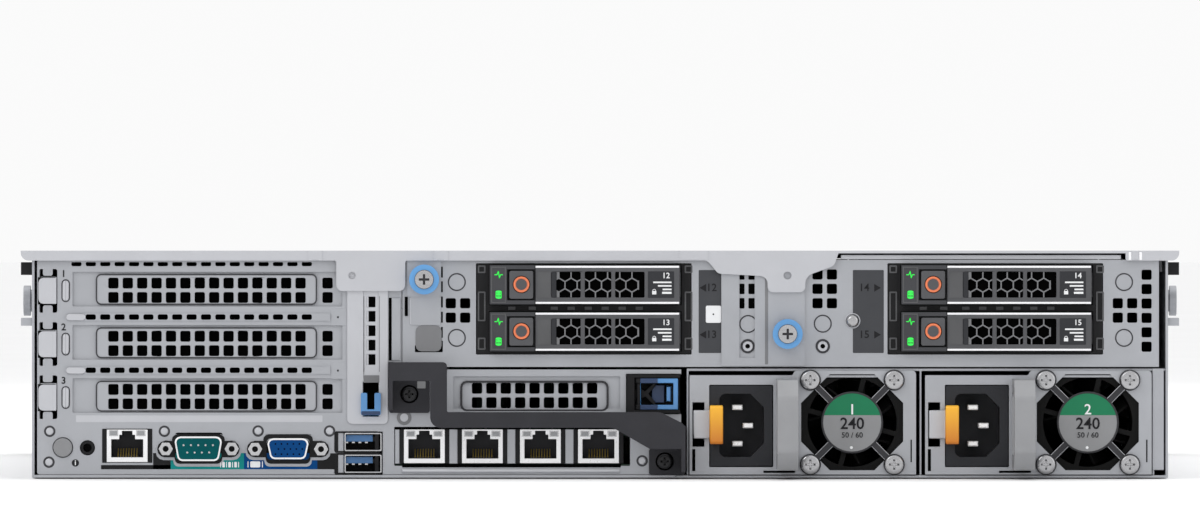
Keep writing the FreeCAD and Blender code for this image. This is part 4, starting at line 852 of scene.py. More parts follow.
class Model:
    """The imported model: its nodes, bodies and material slots."""

    def __init__(self) -> None:
        """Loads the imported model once."""
        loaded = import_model()
        self.nodes: dict[str, bpy.types.Object] = loaded["nodes"]
        record = loaded["record"]
        self.slots = {part["node"]: part["material_slot"] for part in record["subparts"]}
        self.body = {node: body for body, nodes in record["behaviour"]["bodies"].items() for node in nodes}
        self.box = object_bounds()
        self.left = span("chassis_base")[0].x
        self.wall = span("rear_panel")[0].y + RAISED

    def finish_node(self, node: str, finish: Finish) -> None:
        """Gives a node that is shown as it is a finish.

        Args:
            node: The node.
            finish: Its finish.
        """
        materials = self.nodes[node].data.materials
        materials.clear()
        materials.append(finish.material())

    def restyle(self, form: Form, node: str, finish: Finish, suffix: str = "shell") -> bpy.types.Object:
        """Places a piece that is shown instead of one node, on that node's body.

        Args:
            form: The piece.
            node: The node.
            finish: The piece's main finish.
            suffix: What the piece's name adds to the node's.

        Returns:
            The placed object.
        """
        return form.place(f"{node}_{suffix}", self.body[node], finish, self.slots[node], (node,))


# -------------------------------------------------------------------------------------------- sub-assemblies
@dataclass(frozen=True)
class Plate:
    """A flat fitting on the rear wall, measured from the wall's left edge and from the foot."""

    name: str
    x: Pair
    z: Pair
    out: float  # how far its face stands out to the rear
    thick: float
    corner: float
    finish: Finish
    edge: float = 0.0  # width of its broken edges
    steps: int = 2


@dataclass
class SubAssembly:
    """Pieces that are built and dressed together."""

    model: Model
    plates: tuple[Plate, ...] = ()

    def build(self) -> None:
        """Builds every piece of the sub-assembly."""
        raise NotImplementedError

    @property
    def wall(self) -> float:
        """Y of the rear wall's face."""
        return self.model.wall

    @property
    def left(self) -> float:
        """X of the rear wall's left edge."""
        return self.model.left

    def plate(self, x: Pair, z: Pair, out: float, thick: float = 0.3, corner: float = 0.0) -> Form:
        """Starts a flat piece on the rear wall.

        Args:
            x: Left and right, from the left edge of the rear wall.
            z: Bottom and top.
            out: How far its face stands out to the rear.
            thick: Its thickness.
            corner: Radius of its four corners.

        Returns:
            The plate.
        """
        rear = self.wall - out
        form = Form.box((self.left + x[0], self.left + x[1]), (rear, rear + thick), z)
        return form.round_along(Face.REAR, corner) if corner else form

    def block(self, size: Block) -> Form:
        """Starts a box whose depth is measured from the rear wall towards the front.

        Args:
            size: Where it starts and ends along each axis.

        Returns:
            The box.
        """
        x, (start, end), z = size
        return Form.box(x, (self.wall + start, self.wall + end), z)

    def fit(self) -> None:
        """Builds the flat fittings of the sub-assembly's table."""
        for part in self.plates:
            form = self.plate(part.x, part.z, part.out, part.thick, part.corner)
            if part.edge:
                form.soften(part.edge, part.steps)
            form.fix(part.name, part.finish)

    def spot(self, x: float, z: float, out: float) -> Triple:
        """Returns a point on the rear wall, standing out to the rear."""
        return self.left + x, self.wall - out, z

    def pip(self, x: float, z: float, out: float, radius: float, length: float, edge: float,
            sides: int = 20) -> Form:
        """Returns a small round disc on the rear wall.

        Args:
            x: Its middle, from the left edge of the wall.
            z: Height of its middle.
            out: How far its face stands out.
            radius: Its radius.
            length: Its thickness.
            edge: Width of its rounded rim.
            sides: Corners of its outline.

        Returns:
            The disc.
        """
        return Form.rod(self.spot(x, z, out), radius, length, sides=sides).round_end(Face.REAR, edge)

    def shell(self, node: str, finish: Finish, edge: float, suffix: str = "shell", steps: int = 2) -> None:
        """Shows a node as a copy with broken edges.

        Args:
            node: The node.
            finish: The copy's finish.
            edge: Width of the broken edges.
            suffix: End of the copy's name.
            steps: Faces across each broken edge.
        """
        self.model.restyle(Form.node(node).soften(edge, steps), node, finish, suffix)


DOME = 0.45  # share of a screw head's height that is rounded
RECESS_REACH = 0.62  # half of the cross, as a share of the head's radius
RECESS_DEPTH = 1.2
RECESS_FOOT = (0.55, 1.0, 0.55)  # what is left of the recess at its foot


def cross_screw(centre: Triple, radius: float, height: float, slot: float = 0.9) -> Form:
    """Models a pan-head screw with a cross recess, seen from the rear.

    Args:
        centre: Middle of the head's top.
        radius: Radius of the head.
        height: Height of the head.
        slot: Width of the recess.

    Returns:
        The head.
    """
    x, y, z = centre
    head = Form.rod(centre, radius, height).round_end(Face.REAR, min(height, radius) * DOME, 4)
    long, deep = radius * RECESS_REACH, min(height * 0.75, RECESS_DEPTH)
    flat = Form.box((x - long, x + long), (y - 0.5, y + deep), (z - slot / 2, z + slot / 2))
    tall = Form.box((x - slot / 2, x + slot / 2), (y - 0.5, y + deep), (z - long, z + long))
    return head.cut(flat.taper(Face.FRONT, RECESS_FOOT), tall.taper(Face.FRONT, RECESS_FOOT)).smooth()


def cross_screws(heads: list[Form], radius: float, height: float) -> list[Form]:
    """Models a cross screw in place of each plain head.

    Args:
        heads: The plain heads, which are thrown away.
        radius: Radius of the new heads.
        height: Their height.

    Returns:
        The screws, in the order of the plain heads.
    """
    screws = []
    for head in heads:
        low, high = head.ends
        head.discard()
        screws.append(cross_screw(((low.x + high.x) / 2, low.y, (low.z + high.z) / 2), radius, height))
    return screws


@dataclass(frozen=True)
class Rivet:
    """A dome rivet and the dark ring of painted shade around it."""

    radius: float = 1.45
    height: float = 0.5
    length: float = 0.9
    rounding: float = 0.42
    groove: float = 0.75
    groove_out: float = 0.06
    groove_edge: float = 0.04

    def dome(self, x: float, y: float, z: float) -> Form:
        """Returns the dome of a rivet at a point of the wall."""
        rod = Form.rod((x, y - self.height, z), self.radius, self.length, sides=24)
        return rod.round_end(Face.REAR, self.rounding, 3).smooth()

    def ring(self, x: float, y: float, z: float) -> Form:
        """Returns the dark ring of painted shade around a rivet at a point of the wall."""
        rod = Form.rod((x, y - self.groove_out, z), self.radius + self.groove, 0.2)
        return rod.round_end(Face.REAR, self.groove_edge)


@dataclass
class Enclosure(SubAssembly):
    """The sheet-metal body, the parts inside it and the rails' studs."""

    shells: tuple[tuple[str, Finish, float], ...] = (
        ("chassis_base", ZINC, 0.25), ("front_drive_cage", ZINC, 0.2), ("rack_ears", BLACK, 0.35),
    )
    stud_edge: float = 0.15
    rear_reach: float = 30.0
    block_foot: float = 76.0
    inside: tuple[tuple[str, Finish], ...] = (
        ("circuit_boards", BOARD), ("heatsinks", ALUMINIUM), ("memory_modules", BOARD),
        ("fan_modules", BLACK), ("air_shroud", BLACK),
    )
    plates: tuple[Plate, ...] = (
        Plate("foot_hem", (0.6, 246.0), (0.05, 1.15), 0.9, 0.9, 0.0, ZINC, 0.3, 3),
        # The top hem is zinc painted lighter: painted highlight along the hem.
        Plate("top_hem", (309.0, 416.0), (83.5, 85.15), -0.1, 0.8, 0.0, ZINC_PAINTED_LIGHT, 0.2, 3),
    )
    rivet_count: int = 9
    rivet_inset: float = 20.0
    rivet_level: float = 6.5
    rivet_rise: float = 45.0
    rivet_size: Triple = (1.8, 0.9, 0.4)  # radius, length and rounding
    rivet_out: float = 0.5

    def build(self) -> None:
        """Builds the body and gives the parts inside their finishes."""
        for node, finish, edge in self.shells:
            self.shell(node, finish, edge)
        studs = Form.node("rail_studs").soften(self.stud_edge)
        rear = self.wall + self.rear_reach
        studs.paint(STEEL, lambda c, n: c.y > rear)
        studs.paint(BLACK, lambda c, n: c.z > self.block_foot and c.y < rear)
        self.model.restyle(studs, "rail_studs", ZINC)
        for node, finish in self.inside:
            self.model.finish_node(node, finish)
        self.fit()
        self.side_rivets()

    def side_rivets(self) -> None:
        """Adds the rivets along both sides."""
        low, high = span("chassis_base")
        step = (high.y - low.y - 2 * self.rivet_inset) / (self.rivet_count - 1)
        places = [(0.0, step * k, rise) for k in range(self.rivet_count) for rise in (0.0, self.rivet_rise)]
        radius, length, rounding = self.rivet_size
        for name, face, x in (("left", Face.LEFT, low.x - self.rivet_out),
                              ("right", Face.RIGHT, high.x + self.rivet_out)):
            dome = Form.rod((x, low.y + self.rivet_inset, self.rivet_level), radius, length, face, 20)
            # The rivet domes are zinc painted lighter: painted highlight.
            dome.round_end(face, rounding, 3).smooth().at_each(places).fix(f"side_rivets_{name}", ZINC_PAINTED_LIGHT)


@dataclass
class Cover(SubAssembly):
    """The sliding top cover and its lever."""

    rib: Pair = (0.8, 3.1)  # radius and length
    rib_at: Pair = (0.9, 0.5)  # from the cover's rear and from its top
    rib_gap: float = 3.9
    folds: tuple[float, ...] = (-108.8, -60.8, 204.4)
    groove: float = 8.0
    groove_depth: float = 0.5
    grooves: tuple[float, ...] = (-170.0, -100.0, 100.0, 170.0)
    groove_ends: tuple[Pair, ...] = ((45.0, 215.0), (300.0, 450.0))

    def build(self) -> None:
        """Builds the cover, the painted highlights of its stiffening folds and the lever."""
        low, high = span("top_cover")
        sheet, half = Form.node("top_cover"), self.groove / 2
        for x in self.grooves:
            for start, end in self.groove_ends:
                tool = Form.box((x - half, x + half), (low.y + start, low.y + end),
                                (high.z - self.groove_depth, high.z + 1.0))
                sheet.cut(tool.round_along(Face.TOP, half - 0.1, 8))
        # The cover is zinc painted lighter: painted light where the top light falls.
        self.model.restyle(sheet.soften(0.2), "top_cover", ZINC_PAINTED_LIGHT)
        self.shell("cover_latch", TOUCH_BLUE, 0.4, "lever", 3)
        for number, x in enumerate(self.folds):
            at = (x - self.rib_gap / 2, low.y + self.rib_at[0], high.z - self.rib_at[1])
            rib = Form.rod(at, *self.rib, Face.TOP, 16)
            pair = rib.round_end(Face.TOP, 0.3).at_each([(0, 0, 0), (self.rib_gap, 0, 0)]).smooth()
            # Each fold is a pair of near-white ribs: painted highlights along the fold.
            pair.place(f"cover_fold_{number}", "cover", PAINTED_EDGE_HIGHLIGHT)


@dataclass
class SlotWall(SubAssembly):
    """The wall of the expansion slots, with its numbers, blanks and rivets."""

    pitch: float = 20.4
    first: float = 71.5
    count: int = 3
    blank_lip: Pair = (14.5, 24.3)
    number_at: Pair = (12.1, 6.4)
    number_size: float = 3.7
    obround: Pair = (2.5, 8.0)
    obround_at: float = 12.9
    tab: Pair = (2.5, 8.0)
    tab_root: Pair = (5.4, 9.3)
    tab_gap: Pair = (2.3, 9.0)
    tab_ends: Pair = (-5.0, 4.9)
    rivets: tuple[Pair, ...] = (
        (6.8, 17.8), (6.5, 6.0), (50.6, 17.8), (86.4, 17.9), (113.7, 17.9), (233.1, 6.5),
    )
    bead: Pair = (13.0, 20.6)
    bead_half: float = 1.3
    pad_half: float = 3.2
    groove: float = 0.4  # how far the dark line stands outside the emboss
    field: Triple = (24.4, 108.9, 11.8)
    rim: float = 0.5
    dimple: Pair = (116.9, 0.42)
    pad: Pair = (114.2, 120.4)
    crease: tuple[Pair, Pair] = ((16.8, 111.0), (21.3, 23.9))
    plates: tuple[Plate, ...] = (
        # A black plate behind the slots: painted shade that keeps the vents dark.
        Plate("slot_shade_plate", (12.0, 132.0), (25.0, 80.5), -2.9, 0.3, 0.5, PAINTED_SHADE_BLACK, 0.1),
    )

    def build(self) -> None:
        """Builds the wall and everything on it."""
        self.shell("rear_panel", ZINC, 0.14)
        blanks = Form.node("slot_blanks").soften(0.16)
        start, end = (self.left + x for x in self.blank_lip)
        # The blanks' recessed lips are zinc painted darker: painted shade in the recess.
        blanks.paint(ZINC_PAINTED_SHADE, lambda c, n: start < c.x < end)
        self.model.restyle(blanks, "slot_blanks", ZINC)
        for number in range(self.count):
            self.dress_slot(number + 1, self.first - self.pitch * number)
            if number + 1 < self.count:
                self.dress_bead(number + 1, self.first - self.pitch * (number + 0.5) + 0.1)
        rivet, places = Rivet(), [self.spot(x, z, 0.0) for x, z in self.rivets]
        # Rivet domes in zinc painted lighter as painted highlight, each with a dark ring of painted shade around
        # it.
        Form.joined([rivet.dome(*place) for place in places]).fix("wall_rivets", ZINC_PAINTED_LIGHT)
        Form.joined([rivet.ring(*place) for place in places]).fix("rivet_grooves", PAINTED_CREASE_SHADE)
        self.fit()
        # The crease is zinc painted lighter: painted highlight along it.
        self.plate(*self.crease, 0.05, 0.1, 0.3).sink(Face.REAR, 0.12, 0.04).fix("wall_crease", ZINC_PAINTED_LIGHT)

    def dress_slot(self, number: int, level: float) -> None:
        """Adds one slot's number, emboss, tab and the rim of its raised field.

        Args:
            number: The slot's number.
            level: Height of the slot's middle.
        """
        x, rise = self.number_at
        digit = Form.words(str(number), self.spot(x, level + rise, 0.06), self.number_size, bold=0.07)
        digit.fix(f"slot_{number}_number", PRINT_DARK)
        wide, tall = self.obround[0] / 2, self.obround[1] / 2
        middle = self.obround_at
        across, up = wide + self.groove, tall + self.groove
        # A dark outline of painted shade around the emboss.
        groove = self.plate((middle - across, middle + across), (level - up, level + up),
                            0.04, 0.1, across - 0.05)
        groove.fix(f"slot_{number}_groove", PAINTED_CREASE_SHADE)
        # The emboss is zinc painted lighter: painted highlight on the raised pill.
        pill = self.plate((middle - wide, middle + wide), (level - tall, level + tall), 0.6, 0.7, wide - 0.02)
        pill.soften(0.45, 4).fix(f"slot_{number}_emboss", ZINC_PAINTED_LIGHT)
        foot, top = (level + z for z in self.tab_ends)
        # The tab is zinc painted lighter: painted highlight.
        tab = self.plate(self.tab, (foot, top), 0.75, 0.5, 1.8)
        tab.add(self.plate(self.tab_root, (foot, top), 0.72, 0.5, 0.1)).soften(0.12)
        tab.fix(f"slot_{number}_tab", ZINC_PAINTED_LIGHT)
        # Painted shade: a black plate in the gap beside the tab.
        hollow = self.plate(self.tab_gap, (foot - 0.2, top + 0.2), 0.22, 0.1, 0.1)
        hollow.fix(f"slot_{number}_tab_gap", PAINTED_SHADE_BLACK)
        # The field's rim is painted shade.
        self.field_rim(level).fix(f"slot_{number}_field_rim", PAINTED_CREASE_SHADE)

    def dress_bead(self, number: int, middle: float) -> None:
        """Adds the end of the bead below a slot, its pad and its dimple.

        Args:
            number: The slot's number.
            middle: Height of the bead's middle.
        """
        # The bead's end is zinc painted lighter: painted highlight.
        end = self.plate(self.bead, (middle - self.bead_half, middle + self.bead_half), 1.0, 0.5, 1.25)
        end.soften(0.35, 3)
        end.fix(f"slot_{number}_bead_end", ZINC_PAINTED_LIGHT)
        pad = self.plate(self.pad, (middle - self.pad_half, middle + self.pad_half), 0.12, 0.2, 0.4)
        pad.soften(0.08)
        pad.fix(f"slot_{number}_pad", ZINC)
        x, radius = self.dimple
        # The dimple is a dark disc of painted shade.
        self.pip(x, middle, 0.2, radius, 0.3, 0.1).fix(f"slot_{number}_dimple", PAINTED_CREASE_SHADE)

    def field_rim(self, level: float) -> Form:
        """Models the dark rim of painted shade around a blank's raised field.

        Args:
            level: Height of the slot's middle.

        Returns:
            The rim.
        """
        left, right, tall = self.field
        low, rim = level + 0.5 - tall / 2, self.rim
        hollow = self.plate((left + rim, right - rim), (low + rim, low + tall - rim), 1.0, 3.0, 1.5)
        return self.plate((left, right), (low, low + tall), 0.05, 1.0, 2.0).cut(hollow).soften(0.15)


@dataclass(frozen=True)
class Socket:
    """A D-shaped socket: its place, its sizes and its rows of contacts."""

    name: str
    x: float
    half: float  # half the width of its surround
    insert: Pair  # half the width and half the height of its insert
    rows: tuple[tuple[float, int, float, float], ...]  # height, count, pitch and lead of each row
    contact_out: float
    finish: Finish
    contact_finish: Finish


@dataclass
class Ports(SubAssembly):
    """The port row: network jacks, serial, video and USB sockets, buttons and label strips."""

    jack_pitch: float = 22.17
    first_jack: Pair = (149.9, 12.0)
    lone_jack: Pair = (36.4, 12.25)
    pin: Block = ((-0.2, 0.2), (1.4, 1.8), (0.0, 0.6))
    pin_lean: Triple = (0.0, 5.0, 2.6)
    pin_drop: float = 4.2
    pin_pitch: float = 1.02
    pin_count: int = 8
    lamps: tuple[tuple[str, Block, float, Finish], ...] = (
        ("frames", ((-1.75, 1.75), (-0.72, -0.3), (-1.15, 1.15)), 0.1, NICKEL),
        ("lenses", ((-1.4, 1.4), (-0.8, -0.3), (-0.85, 0.85)), 0.2, LAMP),
    )
    lamp_at: Pair = (5.2, 4.85)
    side: Block = ((-0.8, 0.8), (-0.25, 0.4), (-6.5, 6.5))
    side_at: float = 8.75
    sockets: tuple[Socket, ...] = (
        Socket("serial", 63.6, 10.1, (8.45, 4.15), ((1.35, 5, 2.79, 0.0), (-1.45, 4, 2.79, 0.0)), 0.12, TEAL,
               NICKEL),
        # The video socket's contacts are black: painted shade in its pin holes.
        Socket("video", 97.85, 9.5, (7.3, 3.45),
               ((1.85, 5, 2.28, -0.2), (-0.1, 5, 2.28, 0.95), (-2.05, 5, 2.28, -0.2)), 0.03, VIDEO_BLUE, PAINTED_SHADE_BLACK),
    )
    socket_level: float = 11.0
    socket_tall: float = 5.6
    narrowing: float = 0.9  # what is left of a socket's width at its foot
    edge: float = 0.55  # how far the light edge stands outside the surround
    insert_at: Pair = (-2.6, 0.15)  # from the wall, and above the socket's middle
    contact: Triple = (0.42, 0.6, 0.15)  # radius, length and rounding
    ear: float = 3.15
    ear_reach: float = 12.6
    usb_at: float = 124.0
    usb_levels: Pair = (5.4, 13.7)
    round_socket: Triple = (21.2, 11.5, 3.4)
    posts: tuple[Pair, ...] = ((138.7, 141.2), (159.2, 162.8), (181.4, 184.8), (203.5, 207.1))
    post_ends: Pair = (5.4, 18.5)
    roll: tuple[float, float, float, float] = (141.4, 2.7, 0.85, 83.0)
    icon_ends: Pair = (4.0, 6.1)
    plates: tuple[Plate, ...] = (
        Plate("card_shadow_gap", (141.4, 225.0), (4.0, 5.2), 0.1, 0.15, 0.2, PAINTED_SHADE_BLACK),
        Plate("label_strip_0", (26.4, 53.0), (3.3, 4.9), 0.1, 0.14, 0.15, BLACK),
        Plate("label_strip_1", (46.3, 53.0), (3.3, 9.5), 0.1, 0.14, 0.15, BLACK),
        Plate("label_strip_2", (53.0, 81.0), (3.3, 9.5), 0.1, 0.14, 0.15, TEAL_BRIGHT),
        Plate("label_strip_3", (81.0, 109.0), (3.3, 9.5), 0.1, 0.14, 0.15, VIDEO_BLUE),
        Plate("label_strip_4", (109.0, 115.9), (3.3, 9.4), 0.1, 0.14, 0.15, BLACK),
    )

    def build(self) -> None:
        """Builds every port."""
        self.jacks()
        self.dress_sockets()
        self.usb()
        self.fit()
        self.icons()
        self.shell("id_button", BUTTON_GREY, 0.2, "cap")

    def jacks(self) -> None:
        """Builds the network jacks with their pins, lamps and posts."""
        wall = self.wall
        shields = Form.node("network_jacks").soften(0.15)
        shields.paint(JACK_DARK, lambda c, n: c.y > wall + 0.1)
        self.model.restyle(shields, "network_jacks", SHIELD)
        x, z = self.first_jack
        places = [(self.left + x + self.jack_pitch * k, z) for k in range(4)]
        places.append((self.left + self.lone_jack[0], self.lone_jack[1]))
        middle = (self.pin_count - 1) / 2
        pin = self.block(self.pin).stretch(Face.TOP, self.pin_lean)
        comb = pin.at_each([(self.pin_pitch * (k - middle), 0.0, 0.0) for k in range(self.pin_count)])
        comb.at_each([(u, 0.0, v - self.pin_drop) for u, v in places]).fix("jack_pins", GOLD)
        side, rise = self.lamp_at
        for name, size, edge, finish in self.lamps:
            pair = self.block(size).soften(edge).at_each([(-side, 0.0, 0.0), (side, 0.0, 0.0)])
            pair.at_each([(u, 0.0, v + rise) for u, v in places]).fix(f"jack_lamp_{name}", finish)
        bars = self.block(self.side).soften(0.1).at_each([(-self.side_at, 0.0, 0.0), (self.side_at, 0.0, 0.0)])
        bars.at_each([(u, 0.0, v) for u, v in places]).fix("jack_sides", BLACK)
        posts = [self.plate(ends, self.post_ends, 0.0, 1.0).soften(0.25, 3) for ends in self.posts]
        Form.joined(posts).fix("jack_posts", ZINC)
        x, z, radius, length = self.roll
        # The roll is zinc painted lighter: painted highlight along the rolled hem.
        roll = Form.rod(self.spot(x, z, 0.1), radius, length, Face.LEFT, 20).round_end(Face.LEFT, 0.3)
        roll.smooth().fix("card_roll", ZINC_PAINTED_LIGHT)

    def opening(self, x: float, half: float, z: float, tall: float, reach: Pair) -> Form:
        """Starts a box around a socket's middle.

        Args:
            x: Middle of the socket, from the left edge of the wall.
            half: Half its width.
            z: Height of its middle.
            tall: Half its height.
            reach: Where it starts and ends, measured from the wall towards the front.

        Returns:
            The box.
        """
        x += self.left
        return self.block(((x - half, x + half), reach, (z - tall, z + tall)))

    def surround(self, socket: Socket, grow: float) -> Form:
        """Models the surround of a socket and of its two screws.

        Args:
            socket: The socket.
            grow: How far the outline stands outside the socket's sizes, and how far it sits lower.

        Returns:
            The surround, open where the socket stands.
        """
        x, z, half, tall = socket.x, self.socket_level - grow, socket.half, self.socket_tall
        out = 0.5 - grow * 0.5
        body = self.plate((x - half - grow, x + half + grow), (z - tall - grow, z + tall + grow), out, out, 2.0)
        body.taper_rows(z, self.narrowing)
        reach = self.ear_reach + self.ear + grow
        ears = self.plate((x - reach, x + reach), (z - self.ear - grow, z + self.ear + grow), out - 0.02, out,
                          self.ear - 0.1)
        for part in (body, ears):
            part.cut(self.opening(x, half - 1.3, z, tall - 1.5, (-2.0, 2.0)).round_along(Face.REAR, 1.5))
        return body.add(ears)

    def dress_sockets(self) -> None:
        """Builds the serial and video sockets and blackens the openings of the others."""
        wall, left = self.wall, self.left
        shells = Form.node("port_connectors").soften(0.15)
        low = left + self.usb_at - 7.4
        x, z, radius = self.round_socket
        shells.paint(BLACK, lambda c, n: low < c.x < low + 14.8 and c.y > wall - 0.7)
        shells.paint(BLACK, lambda c, n: c.y > wall + 0.9)
        shells.paint(BLACK, lambda c, n: math.hypot(c.x - left - x, c.z - z) < radius and c.y > wall - 1.0)
        self.model.restyle(shells, "port_connectors", NICKEL)
        for socket in self.sockets:
            self.surround(socket, self.edge).soften(0.08).fix(f"{socket.name}_edge", ZINC)
            self.surround(socket, 0.0).soften(0.08).fix(f"{socket.name}_surround", BLACK)
            self.insert(socket)

    def insert(self, socket: Socket) -> None:
        """Fills a socket with its coloured insert and its contacts.

        Args:
            socket: The socket.
        """
        x, z, (half, tall) = socket.x, self.socket_level + self.insert_at[1], socket.insert
        front, edge = self.insert_at[0], self.edge
        rim = self.opening(x, half + edge, z, tall + edge, (front - 0.1, front + 1.0))
        fill = self.opening(x, half, z, tall, (front, front + 1.0))
        hollow = self.opening(x, half - 0.1, z, tall - 0.1, (front - 1.0, front + 2.0))
        for shape, corner in ((rim, 2.2), (fill, 1.8), (hollow, 1.7)):
            shape.round_along(Face.REAR, corner).taper_rows(z, self.narrowing)
        rim.cut(hollow).soften(0.08).fix(f"{socket.name}_rim", SHIELD)
        fill.soften(0.08).fix(f"{socket.name}_insert", socket.finish)
        radius, length, rounding = self.contact
        contact = Form.rod((0.0, self.wall + front - socket.contact_out, 0.0), radius, length, sides=16)
        places = [(self.left + x + pitch * (k - (count - 1) / 2) + lead, 0.0, z + rise)
                  for rise, count, pitch, lead in socket.rows for k in range(count)]
        pins = contact.round_end(Face.REAR, rounding).at_each(places).smooth()
        pins.fix(f"{socket.name}_contacts", socket.contact_finish)

    def usb(self) -> None:
        """Builds the tongues and surrounds of the two USB sockets."""
        x = self.usb_at
        for number, z in enumerate(self.usb_levels):
            outer = self.opening(x, 8.5, z, 4.1, (-0.3, 0.3)).round_along(Face.REAR, 0.8)
            outer.cut(self.opening(x, 7.0, z, 3.4, (-2.0, 2.0))).soften(0.1)
            outer.fix(f"usb_{number}_surround", BLACK)
            tongue = self.opening(x, 6.2, z + 1.425, 1.275, (0.5, 9.0)).soften(0.15)
            tongue.fix(f"usb_{number}_tongue", USB_BLUE)
            tooth = self.opening(x, 0.55, z - 0.165, 0.285, (0.45, 6.0)).soften(0.05)
            teeth = tooth.at_each([(2.5 * (k - 1.5), 0.0, 0.0) for k in range(4)])
            teeth.fix(f"usb_{number}_contacts", NICKEL)

    def icons(self) -> None:
        """Adds plain icons beside the ports."""
        self.pip(16.6, 5.7, 0.1, 1.4, 0.14, 0.04, 32).fix("about_icon", PRINT_DARK)
        Form.words("i", self.spot(16.6, 5.75, 0.2), 2.8, bold=0.06).fix("about_letter", PRINT_LIGHT)
        stroke = self.plate((0.0, 0.28), self.icon_ends, 0.25, 0.15, 0.05)
        dash = self.plate((0.0, 1.0), self.icon_ends, 0.25, 0.15, 0.3).sink(Face.REAR, 0.26, 0.1)
        strokes = stroke.at_each([(71.9 + 2.3 * k, 0.0, 0.0) for k in range(4)])
        dashes = dash.at_each([(72.7 + 2.3 * k, 0.0, 0.0) for k in range(3)])
        strokes.add(dashes).fix("serial_icon", PRINT_LIGHT)
        screen = self.plate((83.4, 87.2), (4.0, 6.3), 0.25, 0.15, 0.4).sink(Face.REAR, 0.4, 0.12)
        tick = self.plate((82.4, 82.7), (4.0, 6.3), 0.25, 0.15, 0.05)
        screen.add(tick, tick.copy((5.5, 0.0, 0.0))).fix("video_icon", PRINT_LIGHT)


@dataclass
class Riser(SubAssembly):
    """The slotted riser bracket with its lift clip and the folds beside it."""

    slot: Pair = (3.3, 4.0)
    slot_left: float = 7.5
    cheek: float = 0.7
    first: float = 14.1  # below the bracket's top
    pitch: float = 5.5
    count: int = 5
    channel: Pair = (126.7, 132.7)
    gaps: tuple[tuple[Pair, Pair, float, float, float], ...] = (
        ((136.3, 137.4), (44.8, 68.8), 0.06, 0.08, 0.1), ((142.4, 143.6), (61.8, 69.2), 0.56, 0.1, 0.2),
    )
    plates: tuple[Plate, ...] = (
        Plate("bracket_block", (126.7, 132.7), (36.4, 39.2), 1.15, 0.2, 0.2, GREY_CAP, 0.05),
        Plate("riser_rail", (137.4, 140.8), (44.8, 68.8), 0.6, 0.6, 0.0, ZINC, 0.25, 3),
    )

    def build(self) -> None:
        """Builds the bracket and the clip."""
        # The bracket is zinc painted lighter: painted highlight.
        self.shell("riser_bracket", ZINC_PAINTED_LIGHT, 0.25)
        low, high = span("riser_bracket")
        left, (wide, tall) = low.x - self.left + self.slot_left, self.slot
        tops = [high.z - self.first - self.pitch * k for k in range(self.count)]
        # Painted shade: black plates in the bracket's slots.
        holes = [self.plate((left + self.cheek, left + wide), (top - tall, top), 0.12, 0.1, 0.2)
                 for top in tops]
        Form.joined(holes).fix("bracket_slot_backs", PAINTED_SHADE_BLACK)
        # The slot cheeks are zinc painted lighter: painted highlight.
        cheeks = [self.plate((left, left + self.cheek), (top - tall, top), 0.5, 0.4)
                  .taper(Face.RIGHT, (1, 0.3, 1))
                  for top in tops]
        Form.joined(cheeks).soften(0.08).fix("bracket_slot_cheeks", ZINC_PAINTED_LIGHT)
        # Painted shade: dark lines along the bracket's channel.
        lines = [self.plate((x, x + 0.16), (40.5, 69.4), 1.05, 0.1) for x in self.channel]
        Form.joined(lines).soften(0.03).fix("bracket_channel", PAINTED_CREASE_SHADE)
        self.fit()
        # Painted shade: black strips in the gaps beside the riser.
        Form.joined([self.plate(*gap) for gap in self.gaps]).fix("riser_gaps", PAINTED_SHADE_BLACK)
        self.shell("riser_clip", TOUCH_BLUE, 0.2, "prongs")
        low, high = span("riser_clip")
        middle = (low.x + high.x) / 2 - self.left
        # Painted shade: a black plate in the gap between the clip's prongs.
        back = self.plate((middle - 1.5, middle + 1.5), (26.0, high.z - 0.6), 1.3, 0.2, 0.2)
        back.soften(0.05).fix("clip_gap", PAINTED_SHADE_BLACK)
        foot = self.plate((middle - 3.6, middle + 3.6), (low.z + 0.1, low.z + 1.5), 3.82, 0.15, 0.3)
        foot.soften(0.05).fix("clip_foot", NAVY)


@dataclass
class CableBar(SubAssembly):
    """The dark cable strap and its screws."""

    screw: Pair = (2.9, 1.8)
    ring: Pair = (142.2, 23.0)
    plates: tuple[Plate, ...] = (
        Plate("strap_window", (147.2, 150.4), (34.2, 36.9), 1.7, 0.15, 0.2, DISC_GREY, 0.05),
    )

    def build(self) -> None:
        """Builds the strap, its screws and its ring."""
        strap, *heads = Form.node("cable_bar").solids()
        for number, screw in enumerate(cross_screws(heads, *self.screw)):
            low, high = screw.ends
            # Painted shade: a black ring where each screw meets the strap.
            seat = Form.hoop(((low.x + high.x) / 2, low.y + 1.75, (low.z + high.z) / 2), 3.2, 0.3).smooth()
            screw.fix(f"strap_screw_{number}", STRAP_SCREW)
            seat.fix(f"strap_seat_{number}", PAINTED_SHADE_BLACK)
        self.model.restyle(strap.soften(0.35, 3), "cable_bar", STRAP_COAT, "strap")
        self.fit()
        x, z = self.left + self.ring[0], self.ring[1]
        ring = Form.rod((x, self.wall - 0.4, z), 2.8, 0.5).sink(Face.REAR, 1.1, 0.3).soften(0.12)
        # The ring's centre is zinc painted lighter: painted highlight.
        ring.paint(ZINC_PAINTED_LIGHT, lambda c, n: math.hypot(c.x - x, c.z - z) < 1.5)
        ring.fix("strap_ring", GREY_CAP)


